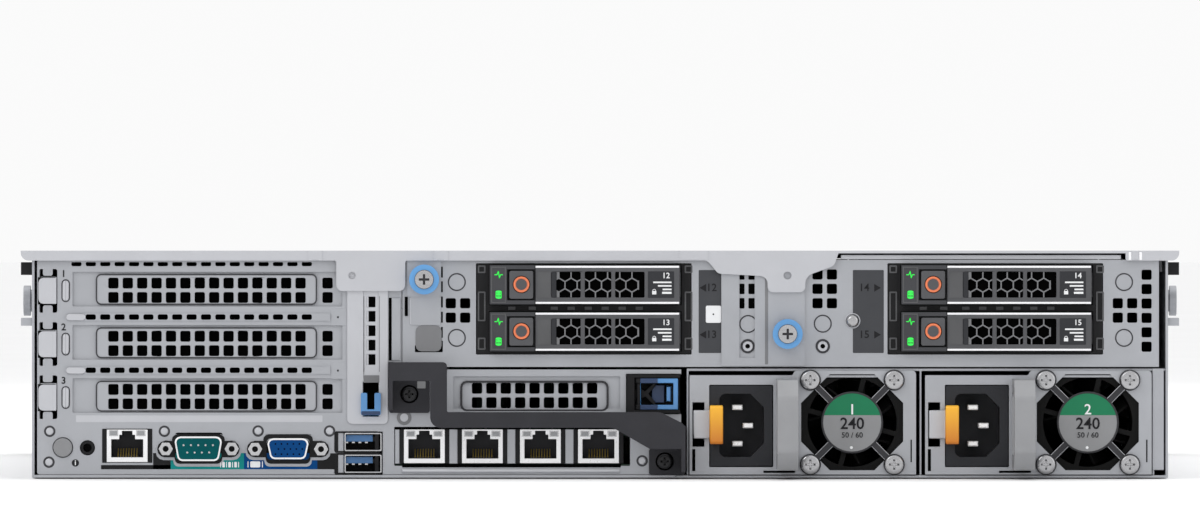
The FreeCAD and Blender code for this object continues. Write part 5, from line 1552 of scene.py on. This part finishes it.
@dataclass
class LowSlot(SubAssembly):
    """The latch at the low-profile slot and the rim of its blank."""

    field: tuple[Pair, Pair] = ((163.6, 220.3), (25.4, 37.1))
    rim: float = 0.8
    hollow: Pair = (234.0, 243.0)
    catch: Triple = (242.2, 244.2, 3.4)
    knuckle: float = 2.0
    arm: float = 8.6
    arm_height: float = 1.76

    def build(self) -> None:
        """Builds the housing, the swinging latch with painted shade on its arms, and the rim of painted shade.
        """
        wall = self.wall
        low, high = span("latch_housing")
        left, right = (self.left + x for x in self.hollow)
        start, end, half = self.left + self.catch[0], self.left + self.catch[1], self.catch[2]
        middle = (low.z + high.z) / 2
        housing = Form.node("latch_housing").soften(0.25)
        housing.paint(NAVY, lambda c, n: wall + 2.0 < c.y < wall + 3.5 and left < c.x < right)
        housing.paint(TOUCH_BLUE, lambda c, n: start < c.x < end and abs(c.z - middle) < half and n.y < -0.5)
        self.model.restyle(housing, "latch_housing", BLACK, "housing")
        low, high = span("riser_latch")
        lever = Form.node("riser_latch").soften(0.3, 3)
        lever.paint(FRAME_BLACK, lambda c, n: c.x < low.x + self.knuckle)
        self.model.restyle(lever, "riser_latch", TOUCH_BLUE, "lever")
        # Painted shade: navy plates over the inner part of the lever's arms.
        foot = low.z + 0.02
        arm = Form.box((low.x + self.knuckle, low.x + self.arm), (low.y - 0.1, low.y + 0.4),
                       (foot, foot + self.arm_height)).soften(0.1)
        arm.add(arm.copy((0.0, 0.0, high.z - 0.02 - self.arm_height - foot)))
        arm.place("latch_arm_shade", "latch_lever", NAVY)
        (x0, x1), (z0, z1) = self.field
        # The field's rim is painted shade.
        inner = self.plate((x0 + self.rim, x1 - self.rim), (z0 + self.rim, z1 - self.rim), 1.0, 3.0, 1.8)
        self.plate((x0, x1), (z0, z1), 0.05, 1.2, 2.4).cut(inner).soften(0.12).fix("low_slot_rim", PAINTED_RIM_SHADE)


@dataclass
class PowerSupply(SubAssembly):
    """The two power supplies: the first is built, the second is a copy.

    Sizes across are measured from the left of the first supply's case.
    """

    pitch: float = 90.0
    disc: Triple = (62.1, 21.2, 11.5)
    disc_out: float = 2.2
    green: float = 0.38
    fan_at: float = 21.25
    screw: Pair = (3.67, 1.7)
    screw_reach: Pair = (16.0, 16.1)
    handle_out: float = 1.3
    blades: tuple[Pair, ...] = ((18.3, 26.9), (22.35, 19.95), (18.3, 13.0))
    recess: Pair = (11.0, 28.8)
    latch_root: float = 7.6
    slits: tuple[tuple[Pair, Pair], ...] = (
        ((28.2, 40.4), (1.95, 2.75)), ((84.4, 84.9), (6.0, 14.6)), ((1.0, 2.2), (2.6, 11.0)),
    )
    prints: tuple[tuple[str, float, float, float, Finish], ...] = (
        ("", 26.0, 5.6, 0.05, PRINT_LIGHT), ("240", 20.6, 6.2, 0.08, PRINT_DARK),
        ("50 / 60", 16.3, 2.9, 0.02, PRINT_DARK),
    )

    def build(self) -> None:
        """Builds both power supplies."""
        wall, x = self.wall, span("psu_1_case")[0].x
        case = Form.node("psu_1_case").soften(0.25)
        case.paint(HANDLE_GREY, lambda c, n: c.y < wall - self.handle_out)
        # Painted shade: the case's faces just behind the wall are painted black.
        case.paint(PAINTED_SHADE_BLACK, lambda c, n: c.y > wall - 0.1 and c.y < wall + 2.5)
        inlet = Form.node("psu_1_inlet").soften(0.2)
        left, right = (x + u for u in self.recess)
        inlet.paint(INLET_DEEP, lambda c, n: wall - 0.6 < c.y < wall + 16.5 and left < c.x < right)
        # Painted highlight: the inlet's pins painted near white.
        for u, v in self.blades:
            inlet.paint(BLADE_PAINTED_HIGHLIGHT, lambda c, n, u=u, v=v: wall < c.y < wall + 15.2
                        and abs(c.x - x - u) < 2.05 and abs(c.z - v) < 1.05)
        latch = Form.node("psu_1_latch").soften(0.5, 4).shrink(0.05)
        # The latch's root is zinc painted lighter: painted highlight.
        latch.paint(ZINC_PAINTED_LIGHT, lambda c, n: c.x < x + self.latch_root)
        guard, screws = self.guard(x)
        # The latch tab brightens towards its top and the guard is zinc painted lighter: painted light.
        shells = (("case", case, ZINC), ("inlet", inlet, INLET), ("latch", latch, ORANGE_TAB_PAINTED_LIGHT),
                  ("fan", Form.node("psu_1_fan").soften(0.15), FAN_BLACK), ("fan_guard", guard, ZINC_PAINTED_LIGHT))
        fittings = (("screws", screws, STEEL), *self.disc_label(x), *self.trim(x))
        for number in (1, 2):
            shift = (self.pitch * (number - 1), 0.0, 0.0)
            for node, form, finish in shells:
                self.model.restyle(form.copy(shift), f"psu_{number}_{node}", finish)
            for name, form, finish in fittings:
                form.copy(shift).place(f"psu_{number}_{name}", f"psu_{number}", finish)
            for text, z, size, bold, finish in self.prints:
                at = (x + shift[0] + self.disc[0], wall - self.disc_out - 0.12, z)
                word = Form.words(text or str(number), at, size, bold=bold)
                word.place(f"psu_{number}_print_{z:.0f}", f"psu_{number}", finish)
        for _, form, _ in (*shells, *fittings):
            form.discard()

    def guard(self, x: float) -> tuple[Form, Form]:
        """Models the finger guard with the fan's housing, and its four screws.

        Args:
            x: Left of the first supply.

        Returns:
            The guard and the screws.
        """
        frame, guard, *heads = Form.node("psu_1_fan_guard").solids()
        screws = Form.joined(cross_screws(heads, *self.screw))
        both, face = frame.add(guard).soften(0.2), self.wall - 0.9
        middle, reach = x + self.disc[0], self.disc[2] + 0.2
        both.paint(FAN_BLACK, lambda c, n: c.y > face)
        # Painted shade on the guard's front around the disc.
        both.paint(PAINTED_RIM_SHADE, lambda c, n: c.y < face and math.hypot(c.x - middle, c.z - self.fan_at) < reach)
        return both, screws

    def disc_label(self, x: float) -> tuple[tuple[str, Form, Finish], ...]:
        """Models the two-coloured disc on the finger guard, its rim and its dot.

        Args:
            x: Left of the first supply.

        Returns:
            The name, shape and finish of each piece.
        """
        u, z, radius = self.disc
        u, out, split = x + u, self.wall - self.disc_out, z + radius * (1.0 - 2.0 * self.green)
        lower, upper = (Form.rod((u, out, z), radius - 0.3, 0.12, sides=64) for _ in range(2))
        lower.trim((0.0, 0.0, split), Face.TOP)
        upper.cut(Form.box((u - 15, u + 15), (out - 2, out + 2), (z - 20, split)))
        # The rim is a dark ring of painted shade around the disc.
        rim = Form.hoop((u, out + 0.15, z), radius - 0.05, 0.42).smooth()
        dot = Form.rod((u - 0.3, out - 0.1, z - 9.6), 0.55, 0.15, sides=16).round_end(Face.REAR, 0.05)
        return (("disc_grey", lower, DISC_GREY), ("disc_green", upper, DISC_GREEN), ("disc_rim", rim, PAINTED_RIM_SHADE),
                ("disc_dot", dot, PRINT_LIGHT))

    def trim(self, x: float) -> tuple[tuple[str, Form, Finish], ...]:
        """Models the washers as dark rings of painted shade, the handle's edge lines as painted highlights and
        the slits in the face in painted shade.

        Args:
            x: Left of the first supply.

        Returns:
            The name, shape and finish of each piece.
        """
        wall, (across, up) = self.wall, self.screw_reach
        # Painted shade: a dark ring around each screw.
        washer = Form.hoop((0.0, wall - 2.2, 0.0), self.screw[0] + 0.1, 0.28).smooth()
        places = [(x + self.disc[0] + i * across, 0.0, self.fan_at + j * up) for i in (-1, 1) for j in (-1, 1)]
        # Painted highlights along the handle's edges.
        line = Form.box((x + 33.2, x + 33.6), (wall - 1.35, wall - 1.0), (30.8, 36.6))
        line.add(line.copy((0.0, 0.0, -26.5))).soften(0.12)
        # Painted shade: black slits.
        slits = [Form.box((x + start, x + end), (wall - 1.1, wall - 0.9), z) for (start, end), z in self.slits]
        return (("washers", washer.at_each(places), PAINTED_RIM_SHADE), ("handle_lines", line, PAINTED_EDGE_HIGHLIGHT),
                ("slits", Form.joined(slits).soften(0.04), PAINTED_SHADE_BLACK))


@dataclass
class DriveCage(SubAssembly):
    """The rear drive cage, its guide frames, labels and small fittings."""

    circles: tuple[Pair, ...] = (
        (162.3, 74.8), (162.3, 53.5), (302.1, 58.9), (417.2, 74.8), (417.2, 53.5), (273.6, 58.8),
    )
    bosses: tuple[Pair, ...] = ((302.1, 50.3), (273.4, 50.3))
    dome: Pair = (313.5, 60.0)
    labels: tuple[tuple[float, float, float, tuple[int, int]], ...] = (
        (259.6, 256.7, 90.0, (12, 13)), (317.9, 322.6, -90.0, (14, 15)),
    )
    levels: Pair = (72.6, 54.7)
    vents: tuple[float, ...] = (77.7, 72.2, 66.7)
    vent_ends: tuple[Pair, Pair] = ((270.3, 272.2), (273.7, 276.1))
    slits: tuple[float, ...] = (78.6, 73.0, 67.2, 61.4, 55.6, 50.3)
    bays: tuple[tuple[int, int], ...] = ((12, 13), (14, 15))
    catches: tuple[Pair, ...] = ((78.2, 81.2), (59.8, 71.2), (48.9, 53.6))
    catch: Pair = (3.0, 0.6)
    marks: tuple[float, ...] = (7.0, 14.8, 23.2, 29.7, 36.2, 42.7, 49.2, 55.7)
    plates: tuple[Plate, ...] = (
        Plate("bay_label_left", (254.7, 263.3), (47.7, 79.4), 0.1, 0.12, 0.3, LABEL_GREY),
        Plate("bay_label_right", (313.6, 325.4), (47.7, 79.4), 0.1, 0.12, 0.3, LABEL_GREY),
        Plate("bay_label_card", (257.4, 263.3), (59.2, 65.8), 0.4, 0.4, 0.6, PRINT_LIGHT, 0.12),
        Plate("cage_tongue", (146.6, 156.5), (48.3, 58.2), 0.45, 0.4, 2.2, TONGUE_GREY, 0.12),
        Plate("cage_tongue_shade", (146.3, 156.8), (48.0, 50.6), 0.05, 0.1, 0.2, PAINTED_SHADE_BLACK),
        # The pad is zinc painted lighter: painted highlight.
        Plate("cage_tongue_pad", (144.4, 156.1), (58.6, 69.0), 0.35, 0.35, 0.5, ZINC_PAINTED_LIGHT, 0.1),
        Plate("strap_groove", (280.0, 281.2), (43.4, 78.5), 1.1, 0.15, 0.2, TONGUE_GREY, 0.05),
    )

    def build(self) -> None:
        """Builds the cage and what is fixed to it."""
        self.shell("rear_drive_cage", ZINC, 0.16)
        self.shell("rear_bay_frames", FRAME_BLACK, 0.2)
        # Painted shade: dark rings around the cage's circles.
        circles = [Form.hoop(self.spot(x, z, 0.03), 3.2, 0.26).smooth() for x, z in self.circles]
        Form.joined(circles).fix("cage_circles", PAINTED_CREASE_SHADE)
        for number, (x, z) in enumerate(self.bosses):
            # Each boss has a dark ring of painted shade, a centre of zinc painted lighter and a hole in painted
            # shade.
            boss = Form.rod(self.spot(x, z, 0.35), 2.75, 0.4).sink(Face.REAR, 0.85, 0.3).soften(0.1)
            boss.paint(ZINC_PAINTED_LIGHT, lambda c, n, u=self.left + x, v=z: math.hypot(c.x - u, c.z - v) < 1.95)
            boss.fix(f"cage_boss_{number}", PAINTED_RIM_SHADE)
            self.pip(x, z, 0.15, 0.9, 0.2, 0.05).fix(f"cage_boss_hole_{number}", PAINTED_SHADE_BLACK)
        dome = Form.rod(self.spot(*self.dome, 1.9), 2.5, 1.9).round_end(Face.REAR, 1.5, 6).smooth()
        dome.fix("cage_screw", STEEL)
        # The seat is a ring of zinc painted lighter: painted highlight.
        Form.hoop(self.spot(*self.dome, 0.15), 2.75, 0.22).smooth().fix("cage_screw_seat", ZINC_PAINTED_LIGHT)
        self.fit()
        self.numbers()
        self.pip(260.3, 62.5, 0.46, 0.32, 0.1, 0.04, 16).fix("bay_label_pip", PRINT_DARK)
        # Painted shade: black plates for the strap's vents.
        vents = [self.plate(ends, (z - 2.0, z + 2.0), 0.08, 0.1, 0.35) for z in self.vents
                 for ends in self.vent_ends]
        Form.joined(vents).fix("strap_vents", PAINTED_SHADE_BLACK)
        # Painted shade: black plates for the cage's slits.
        slits = [self.plate((156.3, 156.95), (z - 2.1, z + 2.1), 0.1, 0.12, 0.15) for z in self.slits]
        Form.joined(slits).fix("cage_slits", PAINTED_SHADE_BLACK)
        self.guides()

    def numbers(self) -> None:
        """Adds the drive numbers and their arrows to the two labels."""
        for at, tip, angle, pair in self.labels:
            for number, z in zip(pair, self.levels):
                word = Form.words(str(number), self.spot(at, z, 0.2), 4.1, bold=0.03)
                arrow = Form.rod((0.0, self.wall - 0.2, 0.0), 1.7, 0.12, sides=3).turn(angle)
                word.add(arrow.at_each([(self.left + tip, 0.0, z)])).fix(f"bay_number_{number}", PRINT_DARK)

    def guides(self) -> None:
        """Adds the small catches of the guide frames and the marks between the drives."""
        wall, (wide, rim) = self.wall, self.catch
        for bay, (upper, lower) in enumerate(self.bays):
            (start, end), below = span(f"drive_{upper}_carrier"), span(f"drive_{lower}_carrier")[1]
            catches = []
            for x in (start.x - 4.6, end.x + 1.4):
                for low, high in self.catches:
                    tool = self.block(((x + rim, x + wide - rim), (-1.0, 1.0), (low + rim, high - rim)))
                    catch = Form.box((x, x + wide), (wall - 0.1, wall + 0.4), (low, high))
                    catches.append(catch.round_along(Face.REAR, 0.4).cut(tool))
            Form.joined(catches).soften(0.06).fix(f"bay_{bay}_catches", GUIDE_GREY)
            gap = (below.z + start.z) / 2
            dash = Form.box((start.x, start.x + 2.8), (wall - 0.1, wall + 0.4), (gap - 0.65, gap + 0.65))
            row = dash.at_each([(x, 0.0, 0.0) for x in self.marks]).soften(0.1)
            row.fix(f"bay_{bay}_rail_marks", GUIDE_GREY)


@dataclass
class RearDrives(SubAssembly):
    """The four rear drives: one is built, the others are copies.

    Sizes are measured from the lower left corner of a drive and from its face.
    """

    numbers: tuple[int, ...] = (12, 13, 14, 15)
    proud: float = 4.3
    window: tuple[Pair, Pair, Pair] = ((25.5, 57.0), (0.4, 1.0), (2.5, 12.5))
    cell: float = 4.65
    line: float = 0.5
    cells: tuple[float, float, int] = (26.4, 7.35, 7)
    handle: Pair = (17.5, 72.3)
    handle_lines: tuple[Pair, Pair] = ((13.95, 14.72), (0.18, 0.95))
    strip: tuple[Pair, Pair] = ((0.5, 6.2), (0.5, 14.4))
    strip_rim: float = 0.45
    ring: Pair = (12.1, 7.6)
    label_at: Pair = (69.4, 8.4)
    number_at: Pair = (67.3, 10.9)
    bars: tuple[Pair, ...] = ((7.0, 0.0), (5.2, -1.35), (3.4, -2.7))
    pulse_at: Pair = (3.4, 11.3)
    pulse: tuple[Pair, ...] = ((-1.5, 0.0), (-0.6, 0.0), (-0.1, 1.3), (0.3, -1.2), (0.7, 0.0), (1.5, 0.0))
    disk_foot: float = 2.6
    disk_levels: Triple = (0.0, 1.2, 2.2)

    @property
    def low(self) -> Vector:
        """Lowest corner of the first drive."""
        return span("drive_12_carrier")[0]

    @property
    def face(self) -> float:
        """Y of the drives' faces."""
        return self.wall - self.proud

    def build(self) -> None:
        """Builds the four drives."""
        low, face = self.low, self.face
        button = Form.node("drive_12_button").soften(0.2)
        button.paint(ORANGE_RING, lambda c, n: c.y < face - 0.22)
        shells = (("carrier", Form.node("drive_12_carrier").soften(0.25), CARRIER),
                  ("handle", Form.node("drive_12_handle").soften(0.2), HANDLE_DARK),
                  ("button", button, HANDLE_DARK))
        # Painted shade: a black ring in the groove around the button.
        groove = Form.hoop((low.x + self.ring[0], face - 0.24, low.z + self.ring[1]), 3.2, 0.12).smooth()
        fittings = (
            ("honeycomb", self.honeycomb(), HONEYCOMB, "_lever"),
            # Painted shade: a black plate behind the honeycomb.
            ("back", self.flat((23.4, 59.3), 1.6, (2.5, 12.5)), PAINTED_SHADE_BLACK, "_lever"),
            # Painted highlights along the handle's top and bottom.
            ("edges", self.edge_lines(), PAINTED_EDGE_HIGHLIGHT, "_lever"),
            ("label", self.flat((60.4, 70.4), -0.12, (2.5, 12.6)).soften(0.1), LABEL_DARK, "_lever"),
            ("finger_rest", self.flat((18.1, 23.3), -0.15, (2.5, 12.5)).sink(Face.REAR, 0.22, 0.07), GUIDE_GREY,
             "_lever"),
            ("finger_gap", self.flat((23.6, 25.4), -0.06, (2.6, 12.4)), LABEL_DARK, "_lever"),
            ("label_print", self.print_lines(), PRINT_LIGHT, "_lever"),
            ("lamps", self.icons(), GREEN_GLOW, ""),
            ("strip_edge", self.strip_edge(), GUIDE_GREY, ""),
            ("ring_groove", groove, PAINTED_SHADE_BLACK, "_release"),
        )
        for number in self.numbers:
            name = f"drive_{number}"
            shift = span(f"{name}_carrier")[0] - low
            for part, form, finish in shells:
                self.model.restyle(form.copy(shift), f"{name}_{part}", finish)
            for part, form, finish, body in fittings:
                form.copy(shift).place(f"{name}_{part}", f"{name}{body}", finish)
            at = (low.x + self.number_at[0] + shift.x, face - 0.2, low.z + self.number_at[1] + shift.z)
            digits = Form.words(str(number), at, 3.0, bold=0.04)
            digits.place(f"{name}_label_number", f"{name}_lever", PRINT_LIGHT)
        for _, form, *_ in (*shells, *fittings):
            form.discard()

    def on_drive(self, x: Pair, y: Pair, z: Pair) -> Form:
        """Returns a box on the first drive, measured from its lower left corner and its face."""
        low, face = self.low, self.face
        return Form.box((low.x + x[0], low.x + x[1]), (face + y[0], face + y[1]), (low.z + z[0], low.z + z[1]))

    def flat(self, x: Pair, y: float, z: Pair) -> Form:
        """Returns a thin plate on the first drive."""
        return self.on_drive(x, (y, y + 0.15), z).round_along(Face.REAR, 0.2)

    def honeycomb(self) -> Form:
        """Models the honeycomb that shows in the handle's windows.

        Returns:
            The sheet with its holes.
        """
        reach, (start, middle, count) = self.cell / math.sqrt(3), self.cells
        start, middle = self.low.x + start, self.low.z + middle
        hole = Form.rod((0.0, self.face, 0.0), reach - self.line * 0.577, 2.0, sides=6)
        places = []
        for row in (-1, 0, 1):
            lead = self.cell / 2 if row else 0.0
            places += [(start + lead + self.cell * k, 0.0, middle + row * reach * 1.5) for k in range(count)]
        return self.on_drive(*self.window).cut(hole.at_each(places)).soften(0.05)

    def edge_lines(self) -> Form:
        """Returns the painted highlights along the handle's top and bottom."""
        return Form.joined([self.on_drive(self.handle, (-0.12, 0.5), z) for z in self.handle_lines]).soften(0.1)

    def strip_edge(self) -> Form:
        """Models the raised border of the lamp strip.

        Returns:
            The border.
        """
        (x0, x1), (z0, z1) = self.strip
        rim = self.strip_rim
        hollow = self.on_drive((x0 + rim, x1 - rim), (-1.0, 1.0), (z0 + rim, z1 - rim))
        return self.on_drive((x0, x1), (-0.12, 0.1), (z0, z1)).cut(hollow).soften(0.05)

    def print_lines(self) -> Form:
        """Models the short lines and the lock printed on the label.

        Returns:
            The print as one piece.
        """
        (x, z), y = self.label_at, (-0.2, -0.1)
        parts = [self.on_drive((x - wide, x), y, (z + drop - 0.3, z + drop + 0.3)) for wide, drop in self.bars]
        parts.append(self.on_drive((x - 7.4, x - 5.8), y, (z - 4.6, z - 3.3)))
        parts.append(Form.hoop((self.low.x + x - 6.6, self.face - 0.15, self.low.z + z - 3.2), 0.55, 0.12))
        parts.append(self.on_drive((x - 3.6, x), y, (z - 4.4, z - 3.6)))
        return Form.joined(parts).soften(0.03)

    def icons(self) -> Form:
        """Models the two lit icons on the carrier's lamp strip: a pulse and a stack of disks.

        Returns:
            Both icons as one piece.
        """
        low, y = self.low, (self.face - 0.1, self.face + 0.1)
        x, z = low.x + self.pulse_at[0], low.z + self.pulse_at[1]
        parts = []
        for (u0, v0), (u1, v1) in zip(self.pulse, self.pulse[1:]):
            half = math.hypot(u1 - u0, v1 - v0) / 2 + 0.1
            stroke = Form.box((-half, half), y, (-0.17, 0.17))
            stroke.turn(math.degrees(math.atan2(v1 - v0, u1 - u0)))
            parts.append(stroke.at_each([(x + (u0 + u1) / 2, 0.0, z + (v0 + v1) / 2)]))
        foot = low.z + self.disk_foot
        for rise in self.disk_levels:
            parts.append(Form.rod((x, y[0], foot + rise), 1.15, 0.2, sides=24).squash(0.42))
        side = Form.box((x - 1.15, x - 0.85), y, (foot, foot + self.disk_levels[-1]))
        return Form.joined([*parts, side, side.copy((2.0, 0.0, 0.0))])


@dataclass
class CaptiveScrews(SubAssembly):
    """The two blue thumbscrews of the drive cage."""

    head: float = 0.72
    dark: Triple = (1.1, 2.0, 2.2)

    def build(self) -> None:
        """Builds both screws."""
        for side in ("left", "right"):
            node = f"captive_screw_{side}"
            low, high = span(node)
            x, y, z = (low.x + high.x) / 2, low.y, (low.z + high.z) / 2
            start, end, radius = y + self.dark[0], y + self.dark[1], self.dark[2]
            knob = Form.node(node).soften(0.2)
            knob.paint(STEEL, lambda c, n, edge=y + self.head: c.y < edge)
            # Painted shadow: a dark ring on the knob around the head.
            knob.paint(PAINTED_CREASE_SHADE, lambda c, n, x=x, z=z, start=start, end=end: start < c.y < end
                       and math.hypot(c.x - x, c.z - z) < radius)
            self.model.restyle(knob, node, KNOB_BLUE, "knob")
            # Painted shade: a dark ring where the screw seats.
            seat = Form.hoop((x, y + 0.85, z), 3.55, 0.16).smooth()
            seat.place(f"captive_seat_{side}", f"screw_{side}", PAINTED_CREASE_SHADE)


@dataclass
class FrontEnd(SubAssembly):
    """The twelve front drives and the power button.

    Sizes are measured from a drive's lower left corner and from its face, towards the rear.
    """

    count: int = 12
    key: float = 13.5
    key_recess: Pair = (3.7, 0.45)
    tag: Pair = (4.5, 19.5)
    tag_edge: float = 6.0
    tag_rim: float = 0.15
    lines: tuple[Pair, ...] = ((9.0, -0.6), (6.5, -2.4), (4.5, -4.2))
    number_at: Pair = (3.4, 3.0)
    handle: Pair = (2.6, 20.6)
    handle_line: Pair = (1.52, 1.98)
    lamps: Pair = (8.0, 15.5)
    bars: int = 10
    bar: tuple[Pair, Pair, Pair] = ((25.0, 30.0), (3.2, 2.0), (4.9, 20.8))

    def build(self) -> None:
        """Builds the drives from one and the button."""
        low, high = span("front_drive_0")
        x0, x1, face, middle = low.x, high.x, high.y, (low.z + high.z) / 2
        key, (left, right) = x1 - self.key, (x0 + x for x in self.tag)
        foot, top = low.z + self.tag_edge, high.z - self.tag_edge
        radius, depth = self.key_recess
        first = Form.node("front_drive_0").soften(0.3)
        first.cut(Form.rod((key, face + 0.5, middle), radius, depth + 0.5, Face.FRONT),
                  Form.box((left, right), (face - 0.45, face + 0.5), (foot, top)).round_along(Face.FRONT, 0.6))
        rim = self.tag_rim
        label = Form.box((left + rim, right - rim), (face - 0.6, face - 0.25), (foot + rim, top - rim))
        label.round_along(Face.FRONT, 0.5).soften(0.05)
        lines = [Form.box((left + 1.5, left + 1.5 + wide), (face - 0.4, face - 0.15),
                          (middle + drop - 0.35, middle + drop + 0.35)) for wide, drop in self.lines]
        # Painted highlights along the handle's top and bottom.
        start, end = self.handle_line
        edges = Form.box((x0 + self.handle[0], x1 - self.handle[1]), (face - 0.7, face - 0.15),
                         (low.z + start, low.z + end))
        edges.add(edges.copy((0.0, 0.0, high.z - low.z - start - end))).soften(0.05)
        lamps = [Form.box((x1 - 5.0, x1 - 2.4), (face - 0.7, face - 0.45), (low.z + rise, low.z + rise + 1.6))
                 for rise in self.lamps]
        fittings = (
            ("grille", self.grille(low, high), HONEYCOMB), ("lamps", Form.joined(lamps).soften(0.2), GREEN_GLOW),
            ("ring", Form.hoop((key, face - 0.3, middle), 3.0, 0.28, Face.FRONT).smooth(), ORANGE_RING),
            ("label", label, LABEL_DARK), ("print", Form.joined(lines).soften(0.05), PRINT_LIGHT),
            ("edges", edges, PAINTED_EDGE_HIGHLIGHT),
        )
        for number in range(self.count):
            node = f"front_drive_{number}"
            shift, body = span(node)[0] - low, self.model.body[node]
            self.model.restyle(first.copy(shift), node, CARRIER)
            for part, form, finish in fittings:
                form.copy(shift).place(f"{node}_{part}", body, finish)
            at = (left + self.number_at[0] + shift.x, face - 0.2, middle + self.number_at[1] + shift.z)
            digits = Form.words(str(number), at, 4.4, face=Face.FRONT, bold=0.04)
            digits.place(f"{node}_number", body, PRINT_LIGHT)
        for form in (first, *(part[1] for part in fittings)):
            form.discard()
        self.shell("power_button", GREY_CAP, 0.3, "cap")

    def grille(self, low: Vector, high: Vector) -> Form:
        """Models the bars across the opening of a drive's handle.

        Args:
            low: Lowest corner of the drive.
            high: Its highest corner.

        Returns:
            The bars as one piece.
        """
        (lead, tail), (back, front), (foot, top) = self.bar
        bar = Form.box((0.0, 1.2), (high.y - back, high.y - front), (low.z + foot, low.z + top)).soften(0.2)
        step = (high.x - tail - low.x - lead) / (self.bars - 1)
        return bar.at_each([(low.x + lead + step * k, 0.0, 0.0) for k in range(self.bars)])


# ---------------------------------------------------------------------------------------------------- studio
@dataclass
class Studio:
    """The floor, the lights and the camera."""

    distance: float = 5.5
    height: float = 0.086
    aim: float = 0.0859
    width: float = 0.4584
    floor_size: float = 240.0
    floor_gap: float = 0.0004
    lights: tuple[tuple[str, Triple, float, float], ...] = (
        ("key", (-1.6, -2.4, 2.0), 1.4, 16.0), ("fill", (2.0, -2.2, 1.0), 1.6, 5.0),
        ("top", (0.2, 0.3, 2.6), 2.2, 14.0), ("front", (1.2, 2.8, 1.5), 1.8, 14.0),
    )
    lit_point: Triple = (0.0, -0.1, 0.04)
    tones: tuple[Pair, ...] = ((0.0, 0.35), (0.44, 0.8), (0.5, 0.96), (1.0, 1.0))

    def build(self, model: Model) -> None:
        """Builds the studio around the model.

        Args:
            model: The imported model.
        """
        bpy.ops.object.select_all(action="DESELECT")
        bpy.ops.mesh.primitive_plane_add(size=self.floor_size, location=(0.0, 0.0, -self.floor_gap))
        floor = bpy.context.object
        bpy.ops.object.transform_apply(location=True, rotation=True, scale=True)
        floor.name = "studio_floor"
        floor.data.materials.append(FLOOR.material())
        floor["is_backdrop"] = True
        self.world()
        for light in self.lights:
            self.light(*light)
        self.camera(model)

    def world(self) -> None:
        """Makes the surroundings a soft white that darkens below the horizon."""
        world = bpy.data.worlds.new("studio_world")
        world.use_nodes = True
        nodes, links = world.node_tree.nodes, world.node_tree.links
        background = nodes["Background"]
        background.inputs["Strength"].default_value = 1.0
        place = nodes.new("ShaderNodeTexCoord")
        split = nodes.new("ShaderNodeSeparateXYZ")
        level = nodes.new("ShaderNodeMapRange")
        level.inputs["From Min"].default_value = -1.0
        level.inputs["From Max"].default_value = 1.0
        ramp = nodes.new("ShaderNodeValToRGB")
        while len(ramp.color_ramp.elements) < len(self.tones):
            ramp.color_ramp.elements.new(0.5)
        for stop, (position, tone) in zip(ramp.color_ramp.elements, self.tones):
            stop.position = position
            stop.color = (tone, tone, tone, 1.0)
        links.new(place.outputs["Generated"], split.inputs["Vector"])
        links.new(split.outputs["Z"], level.inputs["Value"])
        links.new(level.outputs["Result"], ramp.inputs["Fac"])
        links.new(ramp.outputs["Color"], background.inputs["Color"])
        bpy.context.scene.world = world
        bpy.context.scene.view_settings.view_transform = "Standard"

    def light(self, name: str, place: Triple, size: float, power: float) -> None:
        """Adds a soft light that looks at the model.

        Args:
            name: What the light does.
            place: Where it stands, in metres.
            size: Side of its square, in metres.
            power: Its power in watts.
        """
        bpy.ops.object.light_add(type="AREA", location=place)
        lamp = bpy.context.object
        lamp.name = f"light_{name}"
        lamp.data.size = size
        lamp.data.energy = power
        lamp.rotation_euler = (Vector(self.lit_point) - Vector(place)).to_track_quat("-Z", "Y").to_euler()

    def camera(self, model: Model) -> None:
        """Adds the camera, square on to the rear wall.

        Args:
            model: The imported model.
        """
        wall = model.wall * MM
        bpy.ops.object.camera_add(location=(0.0, wall - self.distance, self.height))
        camera = bpy.context.object
        camera.name = "camera_main"
        look = Vector((0.0, wall, self.aim)) - camera.location
        camera.rotation_euler = look.to_track_quat("-Z", "Y").to_euler()
        camera.data.lens = camera.data.sensor_width * self.distance / self.width
        camera.data.clip_end = 500.0
        bpy.context.scene.camera = camera


def main() -> None:
    """Builds the server and its studio."""
    logging.basicConfig(level=logging.INFO, format="%(message)s")
    model = Model()
    for assembly in (Enclosure, Cover, SlotWall, Ports, Riser, CableBar, LowSlot, PowerSupply, DriveCage,
                     RearDrives, CaptiveScrews, FrontEnd):
        LOG.info("building %s", assembly.__name__)
        assembly(model).build()
    Studio().build(model)
    sizes = {"cad": [list(corner) for corner in model.box], "all": [list(corner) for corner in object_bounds()]}


if __name__ == "__main__":
    main()
